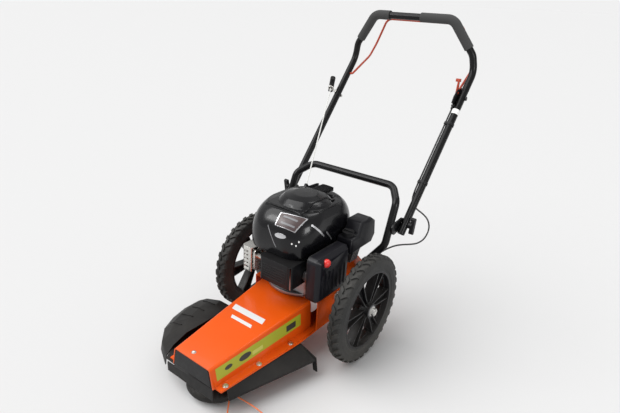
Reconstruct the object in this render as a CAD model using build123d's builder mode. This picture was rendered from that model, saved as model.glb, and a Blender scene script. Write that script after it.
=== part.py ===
"""Walk-behind wheeled string trimmer: belt-driven line head, petrol engine over the axle, folding handle.

Millimetres, +Z up. The machine drives towards -Y, and +X is on the right of someone who looks along +Y.
The origin is on the ground, under the middle of the machine's bounding box.
"""
from math import atan2, cos, degrees, hypot, radians, sin, tan
import os

from build123d import *

os.makedirs("parts", exist_ok=True)

# ---------------------------------------------------------------- driving sizes
AXLE_Y = -90.0  # the axle, ahead of the origin
TOUCH = 0.3  # gap between curved faces of different moving bodies
RUN = 0.05  # radial clearance of a running fit

WHEEL_D = 356.0
WHEEL_W = 45.0
TRACK = 474.0
TYRE_DEPTH = 48.0
RIM_WALL = 7.0
HUB_R = 24.0
HUB_W = 56.0
SPOKES = 6
AXLE_R = 8.0

SHEET = 3.0  # orange sheet metal
FLOOR_Z = 95.0  # underside of the housing floor
DECK_Z = 200.0  # face that the engine stands on
DECK_HALF = 132.0
DECK_REAR = 140.0  # behind the axle
DECK_FRONT = 105.0  # ahead of the axle, where the belt cover meets the engine deck
EAR_Z = 280.0
COVER_REACH = 495.0  # front edge of the belt cover ahead of the axle
COVER_TOP_FRONT = 157.0
COVER_TOP_REAR = 196.0
COVER_HALF_FRONT = 72.0
COVER_HALF_REAR = 105.0
COVER_LEAN_FRONT = 11.0
COVER_LEAN_REAR = 4.0
FLANGE_W = 20.0

SPINDLE_BACK = 90.0  # spindle behind the front edge of the belt cover
SPINDLE_REACH = COVER_REACH - SPINDLE_BACK
SPINDLE_R = 10.0
HEAD_R = 90.0
HEAD_Z = 16.0
HEAD_H = 34.0
BOWL_R = 62.0
BOWL_H = 13.0
LINE_R = 2.0
GUARD_RIM_Z = 58.0
GUARD_WALL = 3.0

CRANK_AHEAD = 20.0  # crank axis ahead of the axle
CRANK_R = 11.1
BELT_Z = 130.0
BELT_W = 9.0
BELT_H = 8.0
DRIVE_PULLEY_R = 34.0
HEAD_PULLEY_R = 42.0
IDLER_R = 24.0
BELT_GAP = 0.5

TUBE_R = 12.5
TUBE_WALL = 2.0
LEG_X = 212.0
HANDLE_PLATE = 4.0
HANDLE_TOP_Z = 1026.0
PIVOT_Y = 210.5  # fold pivot behind the axle
PIVOT_Z = 400.0
GRIP_WALL = 4.0
BAIL_R = 4.0
CABLE_R = 2.75
ROPE_R = 2.2
BOLT_R = 4.0

# ---------------------------------------------------------------- places that follow from them
AXLE_Z = WHEEL_D / 2
WHEEL_R = WHEEL_D / 2
SEAT_R = WHEEL_R - TYRE_DEPTH
CRANK_Y = AXLE_Y - CRANK_AHEAD
SPINDLE_Y = AXLE_Y - SPINDLE_REACH
COVER_Y = AXLE_Y - COVER_REACH
DECK_FRONT_Y = AXLE_Y - DECK_FRONT
DECK_REAR_Y = AXLE_Y + DECK_REAR
FLOOR_TOP = FLOOR_Z + SHEET
UPPER_X = LEG_X + TUBE_R + HANDLE_PLATE + TUBE_R
SIDES = {"left": -1, "right": 1}


def aft(distance):
    """Y of a place that far behind the axle."""
    return AXLE_Y + distance


def save(builder, name):
    """Labels the finished piece and writes it."""
    builder.part.label = name
    export_step(builder.part, f"parts/{name}.step")


def axis_x(x, y, z, direction=1):
    """A sketch plane at a point, facing along X."""
    return Plane(origin=(x, y, z), x_dir=(0, 1, 0), z_dir=(direction, 0, 0))


def axis_y(x, y, z, direction=-1):
    """A sketch plane at a point, facing along Y; its own x runs along +X."""
    return Plane(origin=(x, y, z), x_dir=(1, 0, 0), z_dir=(0, direction, 0))


def aimed(origin, target):
    """A sketch plane at origin facing target."""
    return Plane(origin=origin, z_dir=Vector(*target) - Vector(*origin))


def mirrored_path(half):
    """Points of one side, from its foot to the middle, and then the other side's."""
    return half + [(-x, y, z) for x, y, z in reversed(half)]


def corner_radii(points, share=0.45):
    """The arc that each corner allows: a share of its shorter run over the tangent of half the turn."""
    radii = []
    for a, b, c in zip(points, points[1:], points[2:]):
        first, second = Vector(*b) - Vector(*a), Vector(*c) - Vector(*b)
        turn = radians(first.get_angle(second))
        radii.append(share * min(first.length, second.length) / tan(turn / 2))
    return radii


def rod(points, radii, outer, inner=0.0):
    """A round bar, or a tube where inner is given, along straight runs and tangent arcs."""
    with BuildPart() as bar:
        with BuildLine() as path:
            if len(points) == 2:
                Line(*points)
            else:
                FilletPolyline(*points, radius=radii)
        with BuildSketch(aimed(points[0], points[1])):
            Circle(outer)
            if inner:
                Circle(inner, mode=Mode.SUBTRACT)
        sweep(path=path.line)
    return bar.part


# ================================================================ chassis and housing
def floor_outline(grow=0.0):
    """Plan of the housing floor, from the narrow front to the rear."""
    front = COVER_HALF_FRONT + COVER_LEAN_FRONT + SHEET + FLANGE_W + grow
    rear = COVER_HALF_REAR + COVER_LEAN_REAR + SHEET + FLANGE_W + grow
    return [
        (front, COVER_Y + 8),
        (rear, DECK_FRONT_Y - 80),
        (rear, DECK_REAR_Y),
        (-rear, DECK_REAR_Y),
        (-rear, DECK_FRONT_Y - 80),
        (-front, COVER_Y + 8),
    ]


ENGINE_BOLT_PCD = 203.0
ENGINE_BOLT_ANGLES = (45, 135, 225, 315)
ENGINE_BOLTS = [
    (ENGINE_BOLT_PCD / 2 * cos(radians(a)), CRANK_Y + ENGINE_BOLT_PCD / 2 * sin(radians(a)))
    for a in ENGINE_BOLT_ANGLES
]
SPINDLE_BOLTS = [
    (36 * cos(radians(a)), SPINDLE_Y + 36 * sin(radians(a))) for a in (45, 135, 225, 315)
]
FLANGE_BOLT_SHARES = (0.06, 0.38, 0.72)  # along the flange, front to rear
LEG_BOLT_Z = (150.0, 210.0)
LEG_FOOT_Y = 98.0
CABLE_HOLE = (DECK_HALF - SHEET / 2, aft(124.0), 186.0)  # where the cable goes through the right cheek
CABLE_DIVE = (-0.394, -0.079, -0.915)  # and its direction there
SPRING_START = (54.0, aft(-84.5), 151.0)
SPRING_END = (58.0, aft(-30.0), 151.0)
SPRING_R = 5.0
SPRING_EAR_R = 5.0
IDLER_PIVOT = (78.0, CRANK_Y - 70.0)
IDLER_AT = (70.0, CRANK_Y - 165.0)  # idler pulley, beside the belt's right run
ARM_T = 4.0
ARM_Z = BELT_Z + BELT_W / 2 + BELT_GAP + 4


def flange_bolt_places():
    """Middle of the cover's side flanges, at each screw."""
    places = []
    for share in FLANGE_BOLT_SHARES:
        y = COVER_Y + 8 + share * (DECK_FRONT_Y - COVER_Y - 8)
        t = (y - COVER_Y) / (DECK_FRONT_Y - COVER_Y)
        base = COVER_HALF_FRONT + COVER_LEAN_FRONT
        base += t * (COVER_HALF_REAR + COVER_LEAN_REAR - base)
        places += [(base + SHEET + FLANGE_W / 2, y), (-base - SHEET - FLANGE_W / 2, y)]
    return places


with BuildPart() as deck:
    # floor pan
    with BuildSketch(Plane.XY.offset(FLOOR_Z)):
        Polygon(*floor_outline(), align=None)
    extrude(amount=SHEET)
    # engine deck
    with BuildSketch(Plane.XY.offset(DECK_Z - SHEET)):
        with Locations((0, (DECK_FRONT_Y + DECK_REAR_Y) / 2)):
            Rectangle(2 * DECK_HALF, DECK_REAR + DECK_FRONT)
    extrude(amount=SHEET)
    # cheeks with raised ears for the handle, and the rear wall
    for side in SIDES.values():
        with BuildSketch(axis_x(side * DECK_HALF, 0, 0, -side)):
            points = [
                (DECK_FRONT_Y, FLOOR_Z),
                (DECK_REAR_Y, FLOOR_Z),
                (DECK_REAR_Y, EAR_Z - 25),
                (DECK_REAR_Y - 25, EAR_Z),
                (aft(24), EAR_Z),
                (aft(8), DECK_Z),
                (DECK_FRONT_Y, DECK_Z),
            ]
            Polygon(*[(y, -side * z) for y, z in points], align=None)
        extrude(amount=SHEET)
    with BuildSketch(axis_y(0, DECK_REAR_Y, (FLOOR_Z + DECK_Z) / 2)):
        Rectangle(2 * DECK_HALF, DECK_Z - FLOOR_Z)
    extrude(amount=SHEET)
    # stud that the belt idler's arm turns on, with its retaining collar
    with Locations((*IDLER_PIVOT, FLOOR_TOP)):
        Cylinder(10, ARM_Z - FLOOR_TOP - TOUCH, align=(Align.CENTER, Align.CENTER, Align.MIN))
        Cylinder(5, ARM_Z + ARM_T + 2 - FLOOR_TOP, align=(Align.CENTER, Align.CENTER, Align.MIN))
    with Locations((*IDLER_PIVOT, ARM_Z + ARM_T + TOUCH)):
        Cylinder(9, 3, align=(Align.CENTER, Align.CENTER, Align.MIN))
    # openings: crank pulley, spindle, axle, bolts
    with Locations((0, CRANK_Y, DECK_Z)):
        Hole(60)
    with Locations((0, SPINDLE_Y, FLOOR_TOP)):
        Hole(27, depth=SHEET)
    for places, radius, z in (
        (ENGINE_BOLTS, BOLT_R, DECK_Z),
        (SPINDLE_BOLTS, 3, FLOOR_TOP),
        (flange_bolt_places(), 3, FLOOR_TOP),
    ):
        with Locations(*[(x, y, z) for x, y in places]):
            Hole(radius, depth=SHEET)
    with BuildSketch(axis_x(-DECK_HALF - 1, AXLE_Y, AXLE_Z)):
        Circle(AXLE_R)
    extrude(amount=2 * DECK_HALF + 2, mode=Mode.SUBTRACT)
    for bolt_z in LEG_BOLT_Z:
        with BuildSketch(axis_x(-DECK_HALF - 1, aft(LEG_FOOT_Y), bolt_z)):
            Circle(BOLT_R)
        extrude(amount=2 * DECK_HALF + 2, mode=Mode.SUBTRACT)
    with BuildSketch(Plane(origin=CABLE_HOLE, z_dir=CABLE_DIVE)):
        Circle(CABLE_R + 1)
    extrude(amount=12, both=True, mode=Mode.SUBTRACT)
save(deck, "deck")


def cover_profile(plane, half, lean, top, thin):
    """Cross-section of the belt cover: an inverted channel with rounded shoulders; thin pulls it in by a wall."""
    height = top - FLOOR_TOP - thin
    w, foot = half - thin, half + lean - thin
    with BuildSketch(plane) as profile:
        Polygon((-foot, 0), (foot, 0), (w, height), (-w, height), align=None)
        fillet(profile.vertices().group_by(Axis.Y)[-1], 9 - thin)
    return profile.sketch


with BuildPart() as belt_cover:
    ends = (
        (COVER_Y, COVER_HALF_FRONT, COVER_LEAN_FRONT, COVER_TOP_FRONT),
        (DECK_FRONT_Y, COVER_HALF_REAR, COVER_LEAN_REAR, COVER_TOP_REAR),
    )
    for y, half, lean, top in ends:
        add(cover_profile(axis_y(0, y, FLOOR_TOP), half, lean, top, 0))
    loft(ruled=True)
    for y, half, lean, top in ends:
        add(cover_profile(axis_y(0, y, FLOOR_TOP), half, lean, top, SHEET))
    loft(ruled=True, mode=Mode.SUBTRACT)
    # side flanges that lie on the floor pan
    for side in SIDES.values():
        front = COVER_HALF_FRONT + COVER_LEAN_FRONT
        rear = COVER_HALF_REAR + COVER_LEAN_REAR
        with BuildSketch(Plane.XY.offset(FLOOR_TOP)):
            Polygon(
                (side * (front - SHEET / 2), COVER_Y + 8),
                (side * (front + SHEET + FLANGE_W), COVER_Y + 8),
                (side * (rear + SHEET + FLANGE_W - 4), DECK_FRONT_Y - 80),
                (side * (rear + SHEET + FLANGE_W - 4), DECK_FRONT_Y - 2),
                (side * (rear - SHEET / 2), DECK_FRONT_Y - 2),
                align=None,
            )
        extrude(amount=SHEET)
    with Locations(*[(x, y, FLOOR_TOP + SHEET) for x, y in flange_bolt_places()]):
        Hole(3, depth=SHEET)
save(belt_cover, "belt_cover")


# ---------------------------------------------------------------- guards
SKIRT_DROP = FLOOR_Z - GUARD_RIM_Z
BULGE = [  # rim of the left guard in plan, front to rear, ahead of or behind the axle
    (-98, -486),
    (-150, -478),
    (-200, -452),
    (-246, -408),
    (-274, -350),
    (-288, -290),
    (-288, -235),
    (-274, -205),
    (-226, -176),
    (-134, -176),
]


def bulge_outline(pull, clear):
    """The left guard's plan pulled in towards the housing; clear keeps it off the housing's side."""
    edge = -(COVER_HALF_REAR + COVER_LEAN_REAR + SHEET + FLANGE_W + 2)
    middle = (edge, -300)
    points = []
    for x, y in BULGE:
        dx, dy = x - middle[0], y - middle[1]
        reach = hypot(dx, dy)
        x, y = middle[0] + dx * (1 - pull / reach), middle[1] + dy * (1 - pull / reach)
        points.append((min(x, edge) if clear else x, aft(y)))
    return points


def bulge_section(z, pull, clear=True):
    """One level of the left guard."""
    with BuildSketch(Plane.XY.offset(z)) as level:
        Polygon(*bulge_outline(pull, clear), align=None)
    return level.sketch


GUARD_TOP_Z = 126.0
GUARD_LEVELS = ((GUARD_RIM_Z, 0.0), (88.0, 5.0), (110.0, 34.0), (GUARD_TOP_Z, 84.0))
with BuildPart() as debris_guard:
    for (z0, pull0), (z1, pull1) in zip(GUARD_LEVELS, GUARD_LEVELS[1:]):
        add(bulge_section(z0, pull0))
        add(bulge_section(z1, pull1))
        loft(ruled=True)
    for (z0, pull0), (z1, pull1) in zip(GUARD_LEVELS, GUARD_LEVELS[1:]):
        drop = GUARD_WALL if z0 > GUARD_RIM_Z else 0
        add(bulge_section(z0 - drop, pull0 + GUARD_WALL))
        add(bulge_section(z1 - GUARD_WALL, pull1 + GUARD_WALL))
        loft(ruled=True, mode=Mode.SUBTRACT)
    # front face, across the open end of the belt cover and down to the rim
    with BuildSketch(axis_y(0, COVER_Y + GUARD_WALL, 0)):
        half, foot = COVER_HALF_FRONT - SHEET - TOUCH, COVER_HALF_FRONT + COVER_LEAN_FRONT - SHEET - TOUCH
        Polygon(
            (-half, COVER_TOP_FRONT - SHEET - 9),
            (-half + 8, COVER_TOP_FRONT - SHEET - TOUCH),
            (half - 8, COVER_TOP_FRONT - SHEET - TOUCH),
            (half, COVER_TOP_FRONT - SHEET - 9),
            (foot, FLOOR_TOP + 1),
            (foot, GUARD_RIM_Z),
            (-foot - 30, GUARD_RIM_Z),
            (-foot - 30, FLOOR_Z - 7),
            (-foot, FLOOR_Z - 7),
            align=None,
        )
    extrude(amount=GUARD_WALL)
    # flange under the floor pan that the guard hangs from
    with BuildSketch(Plane.XY.offset(FLOOR_Z - GUARD_WALL)):
        Polygon(
            (-60, COVER_Y + GUARD_WALL),
            (-60, DECK_FRONT_Y - 80),
            (-DECK_HALF - 10, DECK_FRONT_Y - 80),
            (-DECK_HALF - 10, aft(-440)),
            (-100, COVER_Y + GUARD_WALL),
            align=None,
        )
    extrude(amount=GUARD_WALL)
save(debris_guard, "debris_guard")

SKIRT_FRONT, SKIRT_REAR = 465.0, 186.0
SKIRT_FLARE_FRONT, SKIRT_FLARE_REAR = 4.0, 64.0
STRUT_X = 192.0


def skirt_section(ahead, flare):
    """The right skirt's section at one place: a sheet that slopes out and down from the floor pan's edge."""
    inner = COVER_HALF_FRONT + COVER_LEAN_FRONT + SHEET
    reach = (COVER_REACH - ahead) / (COVER_REACH - DECK_FRONT)
    inner += reach * (COVER_HALF_REAR + COVER_LEAN_REAR + SHEET - inner)
    edge = inner + FLANGE_W - 2
    with BuildSketch(axis_y(0, aft(-ahead), 0)) as section:
        Polygon(
            (inner, FLOOR_Z),
            (edge, FLOOR_Z),
            (edge + flare + GUARD_WALL, GUARD_RIM_Z + 6),
            (edge + flare + GUARD_WALL, GUARD_RIM_Z),
            (edge + flare, GUARD_RIM_Z),
            (edge + flare - 1, GUARD_RIM_Z + 5),
            (edge - 2, FLOOR_Z - GUARD_WALL),
            (inner, FLOOR_Z - GUARD_WALL),
            align=None,
        )
    return section.sketch


with BuildPart() as side_skirt:
    add(skirt_section(SKIRT_FRONT, SKIRT_FLARE_FRONT))
    add(skirt_section(SKIRT_REAR, SKIRT_FLARE_REAR))
    loft(ruled=True)
    # strut down the skirt's rear corner
    with BuildSketch(axis_y(0, aft(-SKIRT_REAR), 0)):
        Polygon(
            (STRUT_X + 9, 24),
            (STRUT_X - 6, 24),
            (STRUT_X - 12, GUARD_RIM_Z),
            (128, 88),
            (100, 88),
            (100, FLOOR_Z),
            (130, FLOOR_Z),
            (STRUT_X + 2, 72),
            align=None,
        )
    extrude(amount=-GUARD_WALL)
save(side_skirt, "side_skirt")

GUARD_SCREWS = [(-78, aft(-470)), (-90, aft(-330)), (-96, aft(-210))]
SKIRT_SCREWS = [(100, aft(-440)), (108, aft(-330)), (114, aft(-230))]

# ================================================================ running gear
SPACER_R = 12.5
NUT_R = 13.0
WASHER_R = 16.0
WASHER_T = 2.5
NUT_T = 10.0
END_PLAY = 0.5
HUB_IN = TRACK / 2 - HUB_W / 2
HUB_OUT = TRACK / 2 + HUB_W / 2
AXLE_END = HUB_OUT + END_PLAY + WASHER_T + NUT_T - 2
STUB_START = DECK_HALF - SHEET - 14
WHEEL_AXIS = Axis((0, AXLE_Y, AXLE_Z), (1, 0, 0))


def hexagon_nut(x, side, y, z, radius, thickness, bore):
    """A nut whose face stands at x and grows outwards along X."""
    with BuildPart() as nut:
        with BuildSketch(axis_x(side * x, y, z, side)):
            RegularPolygon(radius, 6)
            Circle(bore, mode=Mode.SUBTRACT)
        extrude(amount=thickness)
    return nut.part


def ring_x(x, side, y, z, outer, inner, thickness):
    """A washer or sleeve whose face stands at x and grows outwards along X."""
    with BuildPart() as ring:
        with BuildSketch(axis_x(side * x, y, z, side)):
            Circle(outer)
            Circle(inner, mode=Mode.SUBTRACT)
        extrude(amount=thickness)
    return ring.part


with BuildPart() as axle:
    for side in SIDES.values():
        with BuildSketch(axis_x(side * STUB_START, AXLE_Y, AXLE_Z, side)):
            Circle(AXLE_R)
        extrude(amount=AXLE_END - STUB_START)
        inner_nut = DECK_HALF - SHEET - NUT_T
        add(hexagon_nut(inner_nut, side, AXLE_Y, AXLE_Z, NUT_R, NUT_T, AXLE_R))
        add(ring_x(DECK_HALF, side, AXLE_Y, AXLE_Z, WASHER_R, AXLE_R, WASHER_T))
        add(hexagon_nut(DECK_HALF + WASHER_T, side, AXLE_Y, AXLE_Z, NUT_R, NUT_T, AXLE_R))
        start = DECK_HALF + WASHER_T + NUT_T
        add(ring_x(start, side, AXLE_Y, AXLE_Z, SPACER_R, AXLE_R, HUB_IN - END_PLAY - start))
        add(ring_x(HUB_OUT + END_PLAY, side, AXLE_Y, AXLE_Z, WASHER_R, AXLE_R, WASHER_T))
        start = HUB_OUT + END_PLAY + WASHER_T
        add(hexagon_nut(start, side, AXLE_Y, AXLE_Z, NUT_R, NUT_T, AXLE_R))
save(axle, "axle")

for name, side in SIDES.items():
    middle = side * TRACK / 2
    wheel_plane = Plane(origin=(middle, AXLE_Y, AXLE_Z), x_dir=(1, 0, 0), z_dir=(0, -1, 0))
    with BuildPart() as tyre:
        with BuildSketch(wheel_plane):
            w = WHEEL_W / 2
            Polygon(
                (-w + 6, SEAT_R),
                (w - 6, SEAT_R),
                (w, SEAT_R + 12),
                (w, WHEEL_R - 16),
                (w - 5, WHEEL_R - 5),
                (w - 12, WHEEL_R),
                (-w + 12, WHEEL_R),
                (-w + 5, WHEEL_R - 5),
                (-w, WHEEL_R - 16),
                (-w, SEAT_R + 12),
                align=None,
            )
        revolve(axis=WHEEL_AXIS)
    save(tyre, f"tyre_{name}")

    with BuildPart() as rim:
        with BuildSketch(wheel_plane):
            with Locations((0, SEAT_R - RIM_WALL / 2)):
                Rectangle(WHEEL_W - 6, RIM_WALL)
            with Locations((0, (HUB_R + AXLE_R + RUN) / 2)):
                Rectangle(HUB_W, HUB_R - AXLE_R - RUN)
            with Locations((0, (SEAT_R + HUB_R) / 2 - 2)):
                Rectangle(4, SEAT_R - HUB_R)
        revolve(axis=WHEEL_AXIS)
        # windows between the spokes, then the ribs along each spoke's edges
        with BuildSketch(axis_x(middle - 10, AXLE_Y, AXLE_Z)):
            with PolarLocations(0, SPOKES, start_angle=90):
                window = radians(360 / SPOKES / 2)
                inner, outer = HUB_R + 8, SEAT_R - RIM_WALL - 4
                Polygon(
                    (inner * cos(0.36), inner * sin(0.36)),
                    (outer * cos(window - 0.16), outer * sin(window - 0.16)),
                    (outer * 1.015, 0),
                    (outer * cos(window - 0.16), -outer * sin(window - 0.16)),
                    (inner * cos(0.36), -inner * sin(0.36)),
                    align=None,
                )
        extrude(amount=20, mode=Mode.SUBTRACT)
        with BuildSketch(axis_x(middle - 15, AXLE_Y, AXLE_Z)):
            for step in range(SPOKES):
                for edge in (-1, 1):
                    spoke = radians(90 + 360 / SPOKES * (step + 0.5))
                    lean = spoke + edge * 0.135
                    start = (HUB_R - 3, edge * 5)
                    a = (start[0] * cos(spoke) - start[1] * sin(spoke), start[0] * sin(spoke) + start[1] * cos(spoke))
                    b = ((SEAT_R - 3) * cos(lean), (SEAT_R - 3) * sin(lean))
                    length = hypot(b[0] - a[0], b[1] - a[1])
                    angle = degrees(atan2(b[1] - a[1], b[0] - a[0]))
                    with Locations(Location(((a[0] + b[0]) / 2, (a[1] + b[1]) / 2), angle)):
                        Rectangle(length, 4)
        extrude(amount=30)
    save(rim, f"rim_{name}")


# ================================================================ belt drive and line head
PULLEY_FLANGE = 3.0
FLANGE_OVER = 6.0  # flange beyond the belt's pitch line


def pulley(x, y, pitch, bore, hub_top, hub_bottom):
    """A flanged belt pulley on a vertical shaft."""
    with BuildPart() as wheel:
        rim = pitch + FLANGE_OVER
        with BuildSketch(Plane(origin=(x, y, BELT_Z), x_dir=(1, 0, 0), z_dir=(0, -1, 0))):
            gap = BELT_W / 2 + BELT_GAP
            floor = pitch - BELT_H / 2 - BELT_GAP
            Polygon(
                (bore, -gap - PULLEY_FLANGE - hub_bottom),
                (bore + 8, -gap - PULLEY_FLANGE - hub_bottom),
                (bore + 8, -gap - PULLEY_FLANGE),
                (rim, -gap - PULLEY_FLANGE),
                (rim, -gap - 1),
                (floor, -gap),
                (floor, gap),
                (rim, gap + 1),
                (rim, gap + PULLEY_FLANGE),
                (bore + 8, gap + PULLEY_FLANGE),
                (bore + 8, gap + PULLEY_FLANGE + hub_top),
                (bore, gap + PULLEY_FLANGE + hub_top),
                align=None,
            )
        revolve(axis=Axis((x, y, 0), (0, 0, 1)))
    return wheel


drive_pulley = pulley(0, CRANK_Y, DRIVE_PULLEY_R, CRANK_R, 16, 4)
save(drive_pulley, "drive_pulley")
head_pulley = pulley(0, SPINDLE_Y, HEAD_PULLEY_R, SPINDLE_R, 4, 1)
save(head_pulley, "head_pulley")

with BuildPart() as v_belt:
    for shift, mode in ((BELT_H / 2, Mode.ADD), (-BELT_H / 2, Mode.SUBTRACT)):
        with BuildSketch(Plane.XY.offset(BELT_Z - BELT_W / 2)):
            with Locations((0, CRANK_Y)):
                Circle(DRIVE_PULLEY_R + shift)
            with Locations((0, SPINDLE_Y)):
                Circle(HEAD_PULLEY_R + shift)
            make_hull()
        extrude(amount=BELT_W, mode=mode)
save(v_belt, "v_belt")

HOUSING_R = 26.5
HOUSING_FLANGE_R = 46.0
HOUSING_FLANGE_T = 5.0
HOUSING_TOP = BELT_Z - BELT_W / 2 - BELT_GAP - PULLEY_FLANGE - 1 - 3
HOUSING_BOTTOM = HEAD_Z + HEAD_H + 10
with BuildPart() as spindle_housing:
    with Locations((0, SPINDLE_Y, HOUSING_BOTTOM)):
        Cylinder(HOUSING_R, HOUSING_TOP - HOUSING_BOTTOM, align=(Align.CENTER, Align.CENTER, Align.MIN))
    with Locations((0, SPINDLE_Y, FLOOR_Z)):
        Cylinder(HOUSING_FLANGE_R, HOUSING_FLANGE_T, align=(Align.CENTER, Align.CENTER, Align.MAX))
    with Locations((0, SPINDLE_Y, HOUSING_TOP)):
        Hole(SPINDLE_R + RUN)
    with Locations(*[(x, y, FLOOR_Z) for x, y in SPINDLE_BOLTS]):
        Hole(3, depth=HOUSING_FLANGE_T)
save(spindle_housing, "spindle_housing")

BOWL_STUD_R = 6.0
with BuildPart() as spindle_shaft:
    with Locations((0, SPINDLE_Y, HEAD_Z + 4)):
        Cylinder(SPINDLE_R, BELT_Z + 14 - HEAD_Z - 4, align=(Align.CENTER, Align.CENTER, Align.MIN))
        Cylinder(BOWL_STUD_R, HEAD_Z, align=(Align.CENTER, Align.CENTER, Align.MAX))
    with Locations((0, SPINDLE_Y, 4)):
        Cylinder(11, 3, align=(Align.CENTER, Align.CENTER, Align.MIN))
save(spindle_shaft, "spindle_shaft")

LINE_Z = HEAD_Z + 7.0
head_plane = Plane(origin=(0, SPINDLE_Y, 0), x_dir=(1, 0, 0), z_dir=(0, -1, 0))
with BuildPart() as line_head:
    with BuildSketch(head_plane):
        Polygon(
            (SPINDLE_R, HEAD_Z + 6),
            (24, HEAD_Z + 6),
            (24, HEAD_Z),
            (HEAD_R - 12, HEAD_Z),
            (HEAD_R - 3, HEAD_Z + 3),
            (HEAD_R, HEAD_Z + 9),
            (HEAD_R - 2, HEAD_Z + 20),
            (HEAD_R - 16, HEAD_Z + 29),
            (HEAD_R - 44, HEAD_Z + HEAD_H),
            (SPINDLE_R, HEAD_Z + HEAD_H),
            align=None,
        )
    revolve(axis=Axis((0, SPINDLE_Y, 0), (0, 0, 1)))
save(line_head, "line_head")

with BuildPart() as ground_bowl:
    with BuildSketch(head_plane):
        Polygon(
            (BOWL_STUD_R + RUN, BOWL_H),
            (BOWL_STUD_R + RUN, 7 + TOUCH),
            (16, 7 + TOUCH),
            (16, 0),
            (BOWL_R - 22, 0),
            (BOWL_R - 6, 4),
            (BOWL_R, BOWL_H),
            align=None,
        )
    revolve(axis=Axis((0, SPINDLE_Y, 0), (0, 0, 1)))
save(ground_bowl, "ground_bowl")

# ---------------------------------------------------------------- belt idler
with BuildPart() as idler_arm:
    with BuildSketch(Plane.XY.offset(ARM_Z)):
        with Locations(IDLER_PIVOT):
            Circle(11)
        with Locations(IDLER_AT):
            Circle(9)
        make_hull()
        with Locations(IDLER_PIVOT):
            Circle(5 + RUN, mode=Mode.SUBTRACT)
    extrude(amount=ARM_T)
    with Locations((*IDLER_AT, ARM_Z)):
        Cylinder(5, ARM_Z - FLOOR_TOP - 12, align=(Align.CENTER, Align.CENTER, Align.MAX))
    # ear with the post that the spring hooks on
    post = (SPRING_START[0], SPRING_START[1] - SPRING_EAR_R)
    with BuildSketch(Plane.XY.offset(ARM_Z)):
        with Locations((IDLER_PIVOT[0] - 9, IDLER_PIVOT[1])):
            Circle(4)
        with Locations(post):
            Circle(SPRING_EAR_R)
        make_hull()
    extrude(amount=ARM_T)
    with Locations((*post, ARM_Z)):
        Cylinder(3, SPRING_START[2] + 5 - ARM_Z, align=(Align.CENTER, Align.CENTER, Align.MIN))
save(idler_arm, "idler_arm")

with BuildPart() as idler_pulley:
    with BuildSketch(Plane(origin=(*IDLER_AT, BELT_Z), x_dir=(1, 0, 0), z_dir=(0, -1, 0))):
        gap = BELT_W / 2 + BELT_GAP
        Polygon(
            (5 + RUN, -gap - 2),
            (IDLER_R + 3, -gap - 2),
            (IDLER_R + 3, -gap),
            (IDLER_R, -gap),
            (IDLER_R, gap),
            (IDLER_R + 3, gap),
            (IDLER_R + 3, gap + 2),
            (5 + RUN, gap + 2),
            align=None,
        )
    revolve(axis=Axis((*IDLER_AT, 0), (0, 0, 1)))
save(idler_pulley, "idler_pulley")


# ================================================================ engine
CASE_TOP = 345.0
CASE_HALF_X = 95.0
CASE_FRONT = 85.0
CASE_REAR = 100.0
SHAFT_TOP = 448.0
TANK_FOOT_Z = 338.0
OIL_AT = (-104.0, aft(46))
OIL_TOP = 318.0
CYL_Z = 292.0
CYL_X = 28.0
CYL_FACE = CRANK_Y + 6 - (CASE_FRONT + CASE_REAR) / 2 + 4
BARREL_R = 40.0
with BuildPart() as crankcase:
    with BuildSketch(Plane.XY.offset(DECK_Z)):
        with Locations((0, CRANK_Y)):
            Circle(ENGINE_BOLT_PCD / 2 + 13)
    extrude(amount=9)
    with Locations((0, CRANK_Y, DECK_Z)):
        Cylinder(58, 12, align=(Align.CENTER, Align.CENTER, Align.MAX))
    with BuildSketch(Plane.XY.offset(DECK_Z + 9)):
        with Locations((12, CRANK_Y + 6)):
            RectangleRounded(2 * CASE_HALF_X + 10, CASE_FRONT + CASE_REAR, 34)
    extrude(amount=CASE_TOP - DECK_Z - 9, taper=2)
    with Locations(*[(x, y, DECK_Z + 9) for x, y in ENGINE_BOLTS]):
        Cylinder(13, 60, align=(Align.CENTER, Align.CENTER, Align.MIN), mode=Mode.SUBTRACT)
        Hole(BOLT_R, depth=9)
    with Locations((0, CRANK_Y, CASE_TOP + 50)):
        Hole(CRANK_R + RUN)
    # seat that the cylinder barrel stands in
    with BuildSketch(axis_y(CYL_X, CYL_FACE, CYL_Z)):
        Circle(BARREL_R)
    extrude(amount=20, mode=Mode.SUBTRACT)
    # ribbed shelf that carries the fuel tank
    for rib in range(4):
        with BuildSketch(axis_y(0, aft(36) + 11 * rib, 0)):
            Polygon((80, 280), (150, 292), (160, TANK_FOOT_Z), (80, TANK_FOOT_Z), align=None)
        extrude(amount=-5)
    with Locations((120, aft(36), TANK_FOOT_Z)):
        Box(80, 38, 6, align=(Align.CENTER, Align.MIN, Align.MAX))
    # oil filler neck
    with Locations((*OIL_AT, 262)):
        Cylinder(12, OIL_TOP - 262, align=(Align.CENTER, Align.CENTER, Align.MIN))
    with Locations((OIL_AT[0] + 14, OIL_AT[1], 270)):
        Box(36, 16, 16)
save(crankcase, "crankcase")

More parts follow.
